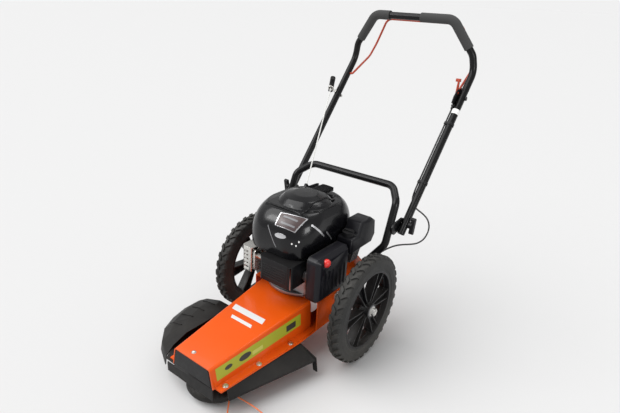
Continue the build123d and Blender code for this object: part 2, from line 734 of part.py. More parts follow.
with BuildPart() as screws:
    # cover flanges, guards, spindle housing, engine feet
    with Locations(*[(x, y, FLOOR_TOP + SHEET) for x, y in flange_bolt_places()]):
        Cylinder(6, 4, align=(Align.CENTER, Align.CENTER, Align.MIN))
        Cylinder(3, 2 * SHEET, align=(Align.CENTER, Align.CENTER, Align.MAX))
    with Locations(*[(x, y, FLOOR_Z - GUARD_WALL) for x, y in GUARD_SCREWS + SKIRT_SCREWS]):
        Cylinder(5, 3, align=(Align.CENTER, Align.CENTER, Align.MAX))
    with Locations(*[(x, y, FLOOR_Z - HOUSING_FLANGE_T) for x, y in SPINDLE_BOLTS]):
        Cylinder(3, HOUSING_FLANGE_T + SHEET + 4, align=(Align.CENTER, Align.CENTER, Align.MIN))
        Cylinder(5.5, 4, align=(Align.CENTER, Align.CENTER, Align.MAX))
    with Locations(*[(x, y, DECK_Z + 9) for x, y in ENGINE_BOLTS]):
        Cylinder(8, 6, align=(Align.CENTER, Align.CENTER, Align.MIN))
        Cylinder(BOLT_R, 9 + SHEET + 8, align=(Align.CENTER, Align.CENTER, Align.MAX))
save(screws, "screws")

with BuildPart() as crankshaft:
    with Locations((0, CRANK_Y, BELT_Z - BELT_W / 2 - BELT_GAP - PULLEY_FLANGE - 4)):
        Cylinder(CRANK_R, SHAFT_TOP - 118, align=(Align.CENTER, Align.CENTER, Align.MIN))
save(crankshaft, "crankshaft")

FLYWHEEL_Z = 372.0
FLYWHEEL_R = 92.0
FLYWHEEL_T = 26.0
FAN_BLADES = 18
with BuildPart() as flywheel:
    with Locations((0, CRANK_Y, FLYWHEEL_Z)):
        Cylinder(FLYWHEEL_R, FLYWHEEL_T - 14, align=(Align.CENTER, Align.CENTER, Align.MIN))
        Cylinder(30, FLYWHEEL_T + 8, align=(Align.CENTER, Align.CENTER, Align.MIN))
    with BuildSketch(Plane.XY.offset(FLYWHEEL_Z + FLYWHEEL_T - 14)):
        with Locations((0, CRANK_Y)):
            with PolarLocations(FLYWHEEL_R - 22, FAN_BLADES):
                Rectangle(36, 3)
    extrude(amount=14)
    with Locations((0, CRANK_Y, FLYWHEEL_Z + FLYWHEEL_T + 8)):
        Hole(CRANK_R)
save(flywheel, "flywheel")

FINS = 7
FIN_PITCH = 8.0
HEAD_FRONT = CYL_FACE - 12 - FINS * FIN_PITCH
with BuildPart() as cylinder:
    with BuildSketch(axis_y(CYL_X, CYL_FACE, CYL_Z)):
        Circle(BARREL_R)
    extrude(amount=CYL_FACE - HEAD_FRONT - 14)
    for fin in range(FINS):
        with BuildSketch(axis_y(CYL_X, CYL_FACE - 8 - fin * FIN_PITCH, CYL_Z)):
            RectangleRounded(104, 84, 12)
        extrude(amount=3)
    with BuildSketch(axis_y(CYL_X, HEAD_FRONT + 16, CYL_Z)):
        RectangleRounded(104, 84, 12)
    extrude(amount=16)
    with BuildSketch(axis_y(CYL_X, HEAD_FRONT - 1, CYL_Z)):
        Circle(5)
    extrude(amount=-14, mode=Mode.SUBTRACT)
save(cylinder, "cylinder")

PLUG_TIP = HEAD_FRONT - 14
with BuildPart() as spark_plug:
    with BuildSketch(axis_y(CYL_X, HEAD_FRONT + 12, CYL_Z)):
        Circle(5)
    extrude(amount=12)
    with BuildSketch(axis_y(CYL_X, HEAD_FRONT, CYL_Z)):
        RegularPolygon(8, 6)
    extrude(amount=6)
    with BuildSketch(axis_y(CYL_X, HEAD_FRONT - 6, CYL_Z)):
        Circle(4)
    extrude(amount=8)
    # rubber boot over the tip
    with BuildSketch(axis_y(CYL_X, HEAD_FRONT - 7, CYL_Z)):
        Circle(8)
        Circle(4, mode=Mode.SUBTRACT)
    extrude(amount=7)
    with BuildSketch(axis_y(CYL_X, HEAD_FRONT - 14, CYL_Z)):
        Circle(8)
    extrude(amount=6)
save(spark_plug, "spark_plug")

# black cowl: three levels lofted to a soft-cornered shell, open underneath
COWL_Y = aft(-12)
COWL_WALL = 3.0
COWL_X = -15.0
COWL_LEVELS = (  # height, width, length, corner, shift back
    (CASE_TOP + 2, 234.0, 306.0, 74.0, 0.0),
    (400.0, 240.0, 314.0, 84.0, 0.0),
    (446.0, 232.0, 294.0, 90.0, 4.0),
    (478.0, 200.0, 240.0, 90.0, 8.0),
)
RECOIL_R = 84.0
RECOIL_Z = COWL_LEVELS[-1][0]
RECOIL_TOP = 505.0
ROPE_START = (-66.0, aft(66.0), 487.0)
ROPE_EYE = (-262.0, aft(455.0), 748.0)
ROPE_DIR = (Vector(*ROPE_EYE) - Vector(*ROPE_START)).normalized()


def cowl_level(level, wall=0.0):
    """One horizontal section of the cowl, pulled in by a wall."""
    z, width, length, corner, shift = level
    with BuildSketch(Plane.XY.offset(z)) as outline:
        with Locations((COWL_X, COWL_Y + shift)):
            RectangleRounded(width - 2 * wall, length - 2 * wall, corner - wall)
    return outline.sketch


with BuildPart() as blower_shroud:
    for level in COWL_LEVELS:
        add(cowl_level(level))
    loft()
    for level in COWL_LEVELS[:-1]:
        add(cowl_level(level, COWL_WALL))
    top = (COWL_LEVELS[-1][0] - COWL_WALL, *COWL_LEVELS[-1][1:])
    add(cowl_level(top, COWL_WALL + 2))
    loft(mode=Mode.SUBTRACT)
    with Locations((0, CRANK_Y, RECOIL_Z + 20)):
        Hole(RECOIL_R - 12)
    # moulded outlet for the starter rope
    with BuildSketch(Plane(origin=Vector(*ROPE_START) - ROPE_DIR * 22, z_dir=ROPE_DIR)):
        Circle(7)
    extrude(amount=28)
    with BuildSketch(Plane(origin=ROPE_START, z_dir=ROPE_DIR)):
        Circle(ROPE_R)
    extrude(amount=10, mode=Mode.SUBTRACT)
save(blower_shroud, "blower_shroud")

with BuildPart() as recoil_cover:
    with BuildSketch(Plane(origin=(0, CRANK_Y, 0), x_dir=(1, 0, 0), z_dir=(0, -1, 0))):
        Polygon(
            (0, RECOIL_TOP),
            (RECOIL_R - 44, RECOIL_TOP - 1),
            (RECOIL_R - 18, RECOIL_TOP - 8),
            (RECOIL_R - 4, RECOIL_TOP - 20),
            (RECOIL_R, RECOIL_Z),
            (RECOIL_R - 4, RECOIL_Z),
            (RECOIL_R - 8, RECOIL_TOP - 21),
            (RECOIL_R - 21, RECOIL_TOP - 12),
            (RECOIL_R - 46, RECOIL_TOP - 5),
            (0, RECOIL_TOP - 4),
            align=None,
        )
    revolve(axis=Axis((0, CRANK_Y, 0), (0, 0, 1)))
    # boss that the reel turns on
    with Locations((0, CRANK_Y, RECOIL_TOP - 2)):
        Cylinder(8, 44, align=(Align.CENTER, Align.CENTER, Align.MAX))
save(recoil_cover, "recoil_cover")

REEL_R = 45.0
with BuildPart() as recoil_reel:
    with BuildSketch(Plane(origin=(0, CRANK_Y, 464), x_dir=(1, 0, 0), z_dir=(0, -1, 0))):
        Polygon(
            (8 + RUN, -8),
            (REEL_R + 10, -8),
            (REEL_R + 10, -5),
            (REEL_R, -5),
            (REEL_R, 5),
            (REEL_R + 10, 5),
            (REEL_R + 10, 8),
            (8 + RUN, 8),
            align=None,
        )
    revolve(axis=Axis((0, CRANK_Y, 0), (0, 0, 1)))
save(recoil_reel, "recoil_reel")

PORT_Y = CRANK_Y - 103
PORT_R = 14.0
SHIELD_X = (-34.0, 92.0)
SHIELD_FRONT = PLUG_TIP - 12
SHIELD_BACK = CRANK_Y - CASE_FRONT - 12
SHIELD_Z = (268.0, CASE_TOP)
with BuildPart() as cylinder_shield:
    depth = SHIELD_BACK - SHIELD_FRONT
    width = SHIELD_X[1] - SHIELD_X[0]
    with Locations((sum(SHIELD_X) / 2, SHIELD_FRONT + depth / 2, SHIELD_Z[1])):
        Box(width, depth, SHIELD_Z[1] - SHIELD_Z[0], align=(Align.CENTER, Align.CENTER, Align.MAX))
    fillet(cylinder_shield.edges().filter_by(Axis.Z).group_by(Axis.Y)[0], 14)
    with Locations((sum(SHIELD_X) / 2, SHIELD_BACK + 1, SHIELD_Z[1] - GUARD_WALL)):
        Box(
            width - 2 * GUARD_WALL,
            depth + 1 - GUARD_WALL,
            SHIELD_Z[1],
            align=(Align.CENTER, Align.MAX, Align.MAX),
            mode=Mode.SUBTRACT,
        )
    # ports for the exhaust on one side and the intake on the other
    with BuildSketch(axis_x(SHIELD_X[0] - 1, PORT_Y, CYL_Z)):
        Circle(PORT_R + 2)
    extrude(amount=width + 2, mode=Mode.SUBTRACT)
save(cylinder_shield, "cylinder_shield")

# exhaust on the left of the cylinder
MUFFLER_X = (-142.0, -98.0)
MUFFLER_Y = (aft(-146), aft(-84))
MUFFLER_Z = (240.0, 318.0)
MUFFLER_WALL = 2.0


def span(pair):
    """Middle and length of a low-high pair."""
    return (pair[0] + pair[1]) / 2, pair[1] - pair[0]


with BuildPart() as muffler:
    (mx, wx), (my, wy), (mz, wz) = span(MUFFLER_X), span(MUFFLER_Y), span(MUFFLER_Z)
    with Locations((mx, my, mz)):
        Box(wx, wy, wz)
    fillet(muffler.edges().filter_by(Axis.X), 12)
    with BuildSketch(axis_x(MUFFLER_X[1] - 1, PORT_Y, CYL_Z)):
        Circle(PORT_R - 1)
    extrude(amount=CYL_X - 52 - MUFFLER_X[1] + 1)
save(muffler, "muffler")

GUARD_GAP = 5.0
SLOTS = 5
with BuildPart() as muffler_guard:
    outer = [(MUFFLER_X[0] - GUARD_GAP - MUFFLER_WALL, MUFFLER_X[1] - 4)]
    outer += [(MUFFLER_Y[0] - GUARD_GAP - MUFFLER_WALL, MUFFLER_Y[1] + GUARD_GAP + MUFFLER_WALL)]
    outer += [(MUFFLER_Z[0] - 2, MUFFLER_Z[1] + GUARD_GAP + MUFFLER_WALL)]
    (mx, wx), (my, wy), (mz, wz) = [span(pair) for pair in outer]
    with Locations((mx, my, mz)):
        Box(wx, wy, wz)
    fillet(muffler_guard.edges().filter_by(Axis.Z), 12)
    with Locations((outer[0][0] + MUFFLER_WALL, my, outer[2][1] - MUFFLER_WALL)):
        Box(
            wx,
            wy - 2 * MUFFLER_WALL,
            wz,
            align=(Align.MIN, Align.CENTER, Align.MAX),
            mode=Mode.SUBTRACT,
        )
    # slots in the outer face and in the front face
    for step in range(SLOTS):
        z = outer[2][0] + 14 + step * 14
        with Locations((outer[0][0], my, z)):
            Box(2.5 * MUFFLER_WALL, wy - 34, 6, mode=Mode.SUBTRACT)
        with Locations((mx - 4, outer[1][0], z)):
            Box(wx - 30, 2.5 * MUFFLER_WALL, 6, mode=Mode.SUBTRACT)
    # tab that the guard is fixed by, on the muffler's inner end
    with Locations((MUFFLER_X[1] - 4, my, MUFFLER_Z[1])):
        Box(8, 24, GUARD_GAP + MUFFLER_WALL, align=(Align.CENTER, Align.CENTER, Align.MIN))
save(muffler_guard, "muffler_guard")

# carburettor and air cleaner on the right
CLEANER_X = (126.0, 166.0)
CLEANER_Y = (aft(-160), aft(4))
CLEANER_Z = (230.0, 378.0)
PLATE_T = 4.0
with BuildPart() as carburettor:
    with BuildSketch(axis_x(CYL_X + 52, PORT_Y, CYL_Z)):
        Circle(PORT_R)
        Circle(9, mode=Mode.SUBTRACT)
    extrude(amount=CLEANER_X[0] - PLATE_T - CYL_X - 52)
    with Locations((SHIELD_X[1] + 16, PORT_Y, CYL_Z - 12)):
        Cylinder(14, 30, align=(Align.CENTER, Align.CENTER, Align.MAX))
        Box(24, 30, 30, align=(Align.CENTER, Align.CENTER, Align.MIN))
save(carburettor, "carburettor")

with BuildPart() as air_cleaner_base:
    (my, wy), (mz, wz) = span(CLEANER_Y), span(CLEANER_Z)
    with BuildSketch(axis_x(CLEANER_X[0] - PLATE_T, my, mz)):
        RectangleRounded(wy, wz, 18)
        with Locations((PORT_Y - my, CYL_Z - mz)):
            Circle(9, mode=Mode.SUBTRACT)
    extrude(amount=PLATE_T)
save(air_cleaner_base, "air_cleaner_base")

PRIMER_AT = (CLEANER_X[1] - 9, aft(-118), CLEANER_Z[1] - 24)
PRIMER_DIR = Vector(0.78, -0.2, 0.59).normalized()
PRIMER_R = 13.0
PRIMER_TRAVEL = 6.0
primer_plane = Plane(origin=PRIMER_AT, z_dir=PRIMER_DIR)
with BuildPart() as air_cleaner_cover:
    with BuildSketch(axis_x(CLEANER_X[0], my, mz)):
        RectangleRounded(wy, wz, 18)
    extrude(amount=CLEANER_X[1] - CLEANER_X[0])
    chamfer(air_cleaner_cover.faces().sort_by(Axis.X)[-1].edges(), 12)
    with BuildSketch(primer_plane.offset(-14)):
        Circle(PRIMER_R + 6)
    extrude(amount=23)
    with BuildSketch(axis_x(CLEANER_X[0], my, mz)):
        RectangleRounded(wy - 6, wz - 6, 15)
    extrude(amount=CLEANER_X[1] - CLEANER_X[0] - 13, mode=Mode.SUBTRACT)
    with BuildSketch(primer_plane.offset(-12)):
        Circle(PRIMER_R + TOUCH)
    extrude(amount=30, mode=Mode.SUBTRACT)
save(air_cleaner_cover, "air_cleaner_cover")

with BuildPart() as primer_bulb:
    with BuildSketch(primer_plane.offset(-4)):
        Circle(PRIMER_R)
    extrude(amount=14)
    with Locations(primer_plane.offset(10).location):
        Sphere(PRIMER_R - 0.5)
    split(bisect_by=primer_plane.offset(-4), keep=Keep.TOP)
save(primer_bulb, "primer_bulb")

# fuel tank at the right rear, with its cap
TANK_X = (108.0, 168.0)
TANK_Y = (aft(8), aft(150))
TANK_Z = (TANK_FOOT_Z, 430.0)
TANK_STEP = (aft(48), 388.0)  # the filler stands on a lower shelf at the front
CAP_AT = (138.0, aft(29))
CAP_R = 19.0
with BuildPart() as fuel_tank:
    with BuildSketch(axis_x(TANK_X[0], 0, 0)):
        Polygon(
            (TANK_Y[0], TANK_Z[0]),
            (TANK_Y[1] - 20, TANK_Z[0]),
            (TANK_Y[1], TANK_Z[0] + 26),
            (TANK_Y[1] - 6, TANK_Z[1] - 16),
            (TANK_Y[1] - 30, TANK_Z[1]),
            (TANK_STEP[0] + 16, TANK_Z[1]),
            (TANK_STEP[0], TANK_STEP[1]),
            (TANK_Y[0], TANK_STEP[1]),
            align=None,
        )
    extrude(amount=TANK_X[1] - TANK_X[0])
    fillet(fuel_tank.faces().sort_by(Axis.X)[-1].edges(), 9)
    with Locations((*CAP_AT, TANK_STEP[1])):
        Cylinder(13, 9, align=(Align.CENTER, Align.CENTER, Align.MIN))
save(fuel_tank, "fuel_tank")

with BuildPart() as fuel_cap:
    with Locations((*CAP_AT, TANK_STEP[1] + TOUCH)):
        Cylinder(CAP_R, 15, align=(Align.CENTER, Align.CENTER, Align.MIN))
    with BuildSketch(Plane.XY.offset(TANK_STEP[1] + 15 + TOUCH)):
        with Locations(CAP_AT):
            SlotOverall(2 * CAP_R - 6, 9)
    extrude(amount=5)
    with Locations((*CAP_AT, TANK_STEP[1] + TOUCH)):
        Cylinder(13 + TOUCH, 9, align=(Align.CENTER, Align.CENTER, Align.MIN), mode=Mode.SUBTRACT)
save(fuel_cap, "fuel_cap")

with BuildPart() as oil_cap:
    with Locations((*OIL_AT, OIL_TOP + TOUCH)):
        Cylinder(15, 8, align=(Align.CENTER, Align.CENTER, Align.MIN))
    with BuildSketch(Plane.XY.offset(OIL_TOP + 8 + TOUCH)):
        with Locations(OIL_AT):
            SlotOverall(26, 7)
    extrude(amount=10)
save(oil_cap, "oil_cap")


# ================================================================ handle
LEG_FOOT_X = DECK_HALF + TUBE_R
PLATE_X = LEG_X + TUBE_R
PLATE_WELD = 2.5  # how deep the hinge plate stands in the leg's wall
HOOP = mirrored_path(
    [
        (LEG_FOOT_X, aft(LEG_FOOT_Y), 125.0),
        (LEG_FOOT_X, aft(LEG_FOOT_Y + 2), 243.0),
        (LEG_X, aft(140), 338.0),
        (LEG_X - 3, aft(192), 474.0),
        (168.0, aft(238), 508.0),
    ]
)
HOOP_RADII = [45.0, 45.0, 38.0, 42.0, 42.0, 38.0, 45.0, 45.0]
lower_handle_bar = rod(HOOP, HOOP_RADII, TUBE_R, TUBE_R - TUBE_WALL)
with BuildPart() as lower_handle:
    add(lower_handle_bar)
    for bolt_z in LEG_BOLT_Z:
        with BuildSketch(axis_x(-LEG_FOOT_X - TUBE_R - 1, aft(LEG_FOOT_Y), bolt_z)):
            Circle(BOLT_R)
        extrude(amount=2 * (LEG_FOOT_X + TUBE_R + 1), mode=Mode.SUBTRACT)
    for side in SIDES.values():
        # plate welded to the leg, which carries the upper tube's pivot bolt
        with BuildSketch(axis_x(side * (PLATE_X - PLATE_WELD), 0, 0, side)):
            with Locations((aft(168), side * 392.0)):
                Circle(20)
            with Locations((aft(PIVOT_Y), side * PIVOT_Z)):
                Circle(17)
            make_hull()
            with Locations((aft(PIVOT_Y), side * PIVOT_Z)):
                Circle(BOLT_R, mode=Mode.SUBTRACT)
        extrude(amount=HANDLE_PLATE + PLATE_WELD)
save(lower_handle, "lower_handle")

with BuildPart() as handle_bolts:
    for side in SIDES.values():
        for bolt_z in LEG_BOLT_Z:
            outer = LEG_FOOT_X + TUBE_R
            with BuildSketch(axis_x(side * (outer + 5), aft(LEG_FOOT_Y), bolt_z, -side)):
                Circle(8)
            extrude(amount=5)
            with BuildSketch(axis_x(side * outer, aft(LEG_FOOT_Y), bolt_z, -side)):
                Circle(BOLT_R)
            extrude(amount=2 * TUBE_R + SHEET + 7)
            with BuildSketch(axis_x(side * (DECK_HALF - SHEET), aft(LEG_FOOT_Y), bolt_z, -side)):
                RegularPolygon(7.5, 6)
                Circle(BOLT_R, mode=Mode.SUBTRACT)
            extrude(amount=6)
    for side in SIDES.values():
        inner = PLATE_X - PLATE_WELD
        with BuildSketch(axis_x(side * (inner - 6), aft(PIVOT_Y), PIVOT_Z, side)):
            Circle(9)
        extrude(amount=6)
        with BuildSketch(axis_x(side * inner, aft(PIVOT_Y), PIVOT_Z, side)):
            Circle(BOLT_R)
        extrude(amount=UPPER_X + TUBE_R + 16 - inner)
save(handle_bolts, "handle_bolts")

UPPER = mirrored_path(
    [
        (UPPER_X, aft(187), 372.0),
        (UPPER_X + 5, aft(593), 860.0),
        (UPPER_X - 5, aft(587), 914.0),
        (156.0, aft(568), HANDLE_TOP_Z),
    ]
)
UPPER_RADII = [60.0, 50.0, 42.0, 42.0, 50.0, 60.0]


def on_tube(z, side, out=0.0):
    """A point on the straight part of the upper handle's tube, out to its outer side."""
    t = (z - UPPER[0][2]) / (UPPER[1][2] - UPPER[0][2])
    x = UPPER[0][0] + t * (UPPER[1][0] - UPPER[0][0])
    y = UPPER[0][1] + t * (UPPER[1][1] - UPPER[0][1])
    return (side * (x + out), y, z)


BAIL_PIVOT = on_tube(801.0, 1)
BRACKET_BOLT = on_tube(776.0, 1)
BRACKET_BOLT_R = 3.0
GUIDE_FOOT = on_tube(726.0, -1)
GUIDE_DIR = (Vector(*ROPE_EYE) - Vector(*GUIDE_FOOT)).normalized()
GUIDE_STEM_R = 3.0
with BuildPart() as upper_handle:
    add(rod(UPPER, UPPER_RADII, TUBE_R, TUBE_R - TUBE_WALL))
    # holes for the fold bolts and for the bail's ends
    for y, z, radius in ((aft(PIVOT_Y), PIVOT_Z, BOLT_R + RUN), (BAIL_PIVOT[1], BAIL_PIVOT[2], BAIL_R + RUN)):
        with BuildSketch(axis_x(-UPPER_X - 40, y, z)):
            Circle(radius)
        extrude(amount=2 * (UPPER_X + 40), mode=Mode.SUBTRACT)
    # bolt of the control bracket through the right tube, and the rope guide's stem through the left one
    with BuildSketch(axis_x(BRACKET_BOLT[0] - TUBE_R - 2, *BRACKET_BOLT[1:])):
        Circle(BRACKET_BOLT_R)
    extrude(amount=2 * TUBE_R + 4, mode=Mode.SUBTRACT)
    with BuildSketch(Plane(origin=GUIDE_FOOT, z_dir=GUIDE_DIR)):
        Circle(GUIDE_STEM_R)
    extrude(amount=TUBE_R + 4, both=True, mode=Mode.SUBTRACT)
save(upper_handle, "upper_handle")

KNOB_X = UPPER_X + TUBE_R + 1.5
KNOB_SPAN = 56.0
for name, side in SIDES.items():
    with BuildPart() as wing_knob:
        with BuildSketch(axis_x(side * KNOB_X, aft(PIVOT_Y), PIVOT_Z, side)):
            Circle(11)
        extrude(amount=12)
        with BuildSketch(axis_x(side * (KNOB_X + 6), aft(PIVOT_Y), PIVOT_Z, side)):
            SlotOverall(KNOB_SPAN, 13, rotation=80)
        extrude(amount=14)
        with BuildSketch(axis_x(side * KNOB_X, aft(PIVOT_Y), PIVOT_Z, side)):
            Circle(BOLT_R + RUN)
        extrude(amount=15, mode=Mode.SUBTRACT)
    save(wing_knob, f"wing_knob_{name}")

# foam grips: each runs along one arm, round the corner and along the top bar
GRIP_TOP_X = {"left": 92.0, "right": 34.0}
GRIP_START_Z = {"left": 908.0, "right": 902.0}
GRIP_R = TUBE_R + GRIP_WALL
ARM_TURN = Vector(*UPPER[2])
ARM_RUN = Vector(*UPPER[3]) - ARM_TURN
for name, side in SIDES.items():
    low = ARM_TURN + ARM_RUN * 0.19
    points = [
        (side * low.X, low.Y, low.Z),
        (side * UPPER[3][0], UPPER[3][1], UPPER[3][2]),
        (side * GRIP_TOP_X[name], UPPER[3][1], UPPER[3][2]),
    ]
    grip_shell = rod(points, [UPPER_RADII[2]], GRIP_R, TUBE_R)
    with BuildPart() as grip:
        add(grip_shell)
    save(grip, f"grip_{name}")

# operator's bail: a wire loop that stands behind the top bar and is squeezed to it
BAIL_IN = BAIL_PIVOT[0] - TUBE_R - 9.0
BAIL = mirrored_path(
    [
        (BAIL_PIVOT[0] - TUBE_R + TUBE_WALL + 6, BAIL_PIVOT[1], BAIL_PIVOT[2]),
        (BAIL_IN, BAIL_PIVOT[1], BAIL_PIVOT[2]),
        (BAIL_IN - 6, aft(656), 864.0),
        (BAIL_IN - 24, aft(672), 915.0),
        (152.0, aft(657), 1010.0),
    ]
)
BAIL_RADII = [5.0, 30.0, 30.0, 34.0, 34.0, 30.0, 30.0, 5.0]
with BuildPart() as bail:
    add(rod(BAIL, BAIL_RADII, BAIL_R))
save(bail, "bail")

# ---------------------------------------------------------------- what the right tube carries
TUBE_DIR = (Vector(*UPPER[1]) - Vector(*UPPER[0])).normalized()
TUBE_FRONT = Vector(0, -TUBE_DIR.Z, TUBE_DIR.Y)  # square to the tube, forward and up
CABLE_SIDE = (Vector(-0.94, 0, 0) + TUBE_FRONT * 0.34).normalized()
CABLE_OUT = TUBE_R + CABLE_R + 1.0
BRACKET_T = 3.0
BRACKET_X = on_tube(752.0, 1)[0] - TUBE_R - BRACKET_T
LEVER_T = 4.0
LEVER_PIVOT = (BRACKET_X, on_tube(793.0, 1)[1] - 22.0, 793.0)
LEVER_X = BRACKET_X - TOUCH - LEVER_T
CABLE_TOP_Z = 738.0
CABLE_END_Z = 505.0
CLIP_ZS = (514.0, 690.0)
CLIP_W = 9.0
CLIP_WALL = 1.8


def beside_tube(z):
    """Centre of the cable where it runs along the right tube, at the tube's height z."""
    return Vector(*on_tube(z, 1)) + CABLE_SIDE * CABLE_OUT


with BuildPart() as control_bracket:
    # plate against the tube's inner side; its foot carries the cable's adjuster
    with BuildSketch(axis_x(BRACKET_X, 0, 0)):
        with BuildLine():
            Polyline(
                on_tube(752, 1)[1:],
                (on_tube(752, 1)[1] - 30, 752 + 12),
                (on_tube(770, 1)[1] - 34, 770 + 14),
                (LEVER_PIVOT[1] - 10, LEVER_PIVOT[2] + 8),
                (LEVER_PIVOT[1] + 6, LEVER_PIVOT[2] + 12),
                on_tube(806, 1)[1:],
                on_tube(752, 1)[1:],
            )
        make_face()
        with Locations(LEVER_PIVOT[1:]):
            Circle(4 + RUN, mode=Mode.SUBTRACT)
    extrude(amount=BRACKET_T)
    for at, radius in ((BAIL_PIVOT, BAIL_R + 0.5), (BRACKET_BOLT, BRACKET_BOLT_R)):
        with BuildSketch(axis_x(BRACKET_X - 1, at[1], at[2])):
            Circle(radius)
        extrude(amount=BRACKET_T + 2, mode=Mode.SUBTRACT)
    # bolt through plate and tube
    head_x = BRACKET_BOLT[0] + TUBE_R + 0.5
    with BuildSketch(axis_x(BRACKET_X, *BRACKET_BOLT[1:])):
        Circle(BRACKET_BOLT_R)
    extrude(amount=head_x - BRACKET_X)
    with BuildSketch(axis_x(head_x, *BRACKET_BOLT[1:])):
        Circle(7)
    extrude(amount=4)
    # barrel of the adjuster, in line with the cable
    top = beside_tube(CABLE_TOP_Z)
    with BuildSketch(Plane(origin=top, z_dir=TUBE_DIR)):
        Circle(5)
    extrude(amount=16)
    with BuildSketch(Plane(origin=top + TUBE_DIR * 9, z_dir=TUBE_DIR)):
        Rectangle(11, 11)
    extrude(amount=5)
save(control_bracket, "control_bracket")

with BuildPart() as control_lever:
    with BuildSketch(axis_x(LEVER_X, 0, 0)):
        with Locations(LEVER_PIVOT[1:]):
            Circle(8)
        with Locations((LEVER_PIVOT[1] + 4, LEVER_PIVOT[2] + 42)):
            Circle(5)
        make_hull()
    extrude(amount=LEVER_T)
    # thumb pad across the tip, and the pin that it turns on
    with Locations((LEVER_X - 8, LEVER_PIVOT[1] + 4, LEVER_PIVOT[2] + 42)):
        Box(16, 9, 10, align=(Align.MIN, Align.CENTER, Align.CENTER))
    with BuildSketch(axis_x(LEVER_X, *LEVER_PIVOT[1:])):
        Circle(4)
    extrude(amount=LEVER_T + TOUCH + BRACKET_T)
save(control_lever, "control_lever")

with BuildPart() as cable_clips:
    for z in CLIP_ZS:
        with BuildSketch(Plane(origin=on_tube(z, 1), x_dir=CABLE_SIDE, z_dir=TUBE_DIR)):
            Circle(TUBE_R + CLIP_WALL)
            with Locations((CABLE_OUT, 0)):
                Circle(CABLE_R + CLIP_WALL)
            make_hull()
            Circle(TUBE_R, mode=Mode.SUBTRACT)
            with Locations((CABLE_OUT, 0)):
                Circle(CABLE_R, mode=Mode.SUBTRACT)
        extrude(amount=CLIP_W)
save(cable_clips, "cable_clips")


# ================================================================ control cable
def cord_tube(points, radius, name):
    """A cord along straight runs and tangent arcs, each arc as large as its runs allow."""
    radii = corner_radii(points)
    if radii:
        print(name, "radii", [round(r) for r in radii])
    with BuildPart() as tube:
        add(rod(points, radii, radius))
    save(tube, name)
    return tube


cable_upper = cord_tube([tuple(beside_tube(CABLE_TOP_Z)), tuple(beside_tube(CABLE_END_Z))], CABLE_R, "cable_upper")

CABLE_LOOP = [
    tuple(beside_tube(CABLE_END_Z)),
    tuple(beside_tube(CABLE_END_Z) - TUBE_DIR * 32),
    (224.5, aft(279.0), 450.0),
    (230.0, aft(307.0), 421.0),
    (238.0, aft(352.0), 391.0),
    (243.0, aft(396.0), 354.0),
    (245.0, aft(414.0), 314.0),
    (244.0, aft(388.0), 283.0),
    (241.0, aft(338.0), 281.0),
    (237.0, aft(286.0), 295.0),
    (231.0, aft(236.0), 311.0),
    (221.0, aft(190.0), 320.0),
    (201.0, aft(160.0), 308.0),
    (178.0, aft(144.0), 282.0),
    (158.0, aft(133.0), 250.0),
    tuple(Vector(*CABLE_HOLE) - Vector(*CABLE_DIVE).normalized() * 32),
    CABLE_HOLE,
]
cable_loop = cord_tube(CABLE_LOOP, CABLE_R, "cable_loop")

CABLE_LOWER = [
    CABLE_HOLE,
    tuple(Vector(*CABLE_HOLE) + Vector(*CABLE_DIVE).normalized() * 18),
    (110.0, aft(108.0), 162.0),
    (94.0, aft(86.0), 157.0),
    (79.0, aft(58.0), 154.0),
    (67.0, aft(28.0), 152.0),
    (60.0, aft(-2.0), 151.0),
    SPRING_END,
]
cable_lower = cord_tube(CABLE_LOWER, CABLE_R, "cable_lower")

with BuildPart() as idler_spring:
    with BuildSketch(aimed(SPRING_START, SPRING_END)):
        Circle(SPRING_R)
        Circle(SPRING_R - 1.5, mode=Mode.SUBTRACT)
    extrude(amount=(Vector(*SPRING_END) - Vector(*SPRING_START)).length)
save(idler_spring, "idler_spring")

# ================================================================ starter rope
EYE_R = 9.0
EYE_WIRE = 2.5
ROPE_TAIL = 16.0
GRIP_BAR = 66.0
GRIP_BAR_R = 10.0

cord_tube([ROPE_START, ROPE_EYE], ROPE_R, "starter_rope")
TAIL_END = Vector(*ROPE_EYE) + ROPE_DIR * ROPE_TAIL
cord_tube([ROPE_EYE, tuple(TAIL_END)], ROPE_R, "rope_tail")

with BuildPart() as rope_guide:
    ring_plane = Plane(origin=ROPE_EYE, x_dir=GUIDE_DIR, z_dir=ROPE_DIR)
    with BuildSketch(Plane(origin=Vector(*ROPE_EYE) + ring_plane.x_dir * EYE_R, x_dir=ring_plane.x_dir,
                           z_dir=ring_plane.y_dir)):
        Circle(EYE_WIRE)
    revolve(axis=Axis(ROPE_EYE, ROPE_DIR))
    # stem that goes through the tube, with a nut on each side
    reach = (Vector(*ROPE_EYE) - Vector(*GUIDE_FOOT)).length
    with BuildSketch(Plane(origin=GUIDE_FOOT, z_dir=GUIDE_DIR).offset(-TUBE_R - 9)):
        Circle(GUIDE_STEM_R)
    extrude(amount=reach - EYE_R + TUBE_R + 9)
    with BuildSketch(Plane(origin=GUIDE_FOOT, z_dir=GUIDE_DIR).offset(TUBE_R + 0.5)):
        RegularPolygon(6.5, 6)
    extrude(amount=5)
    with BuildSketch(Plane(origin=GUIDE_FOOT, z_dir=GUIDE_DIR).offset(-TUBE_R - 0.5)):
        RegularPolygon(6.5, 6)
    extrude(amount=-5)
save(rope_guide, "rope_guide")

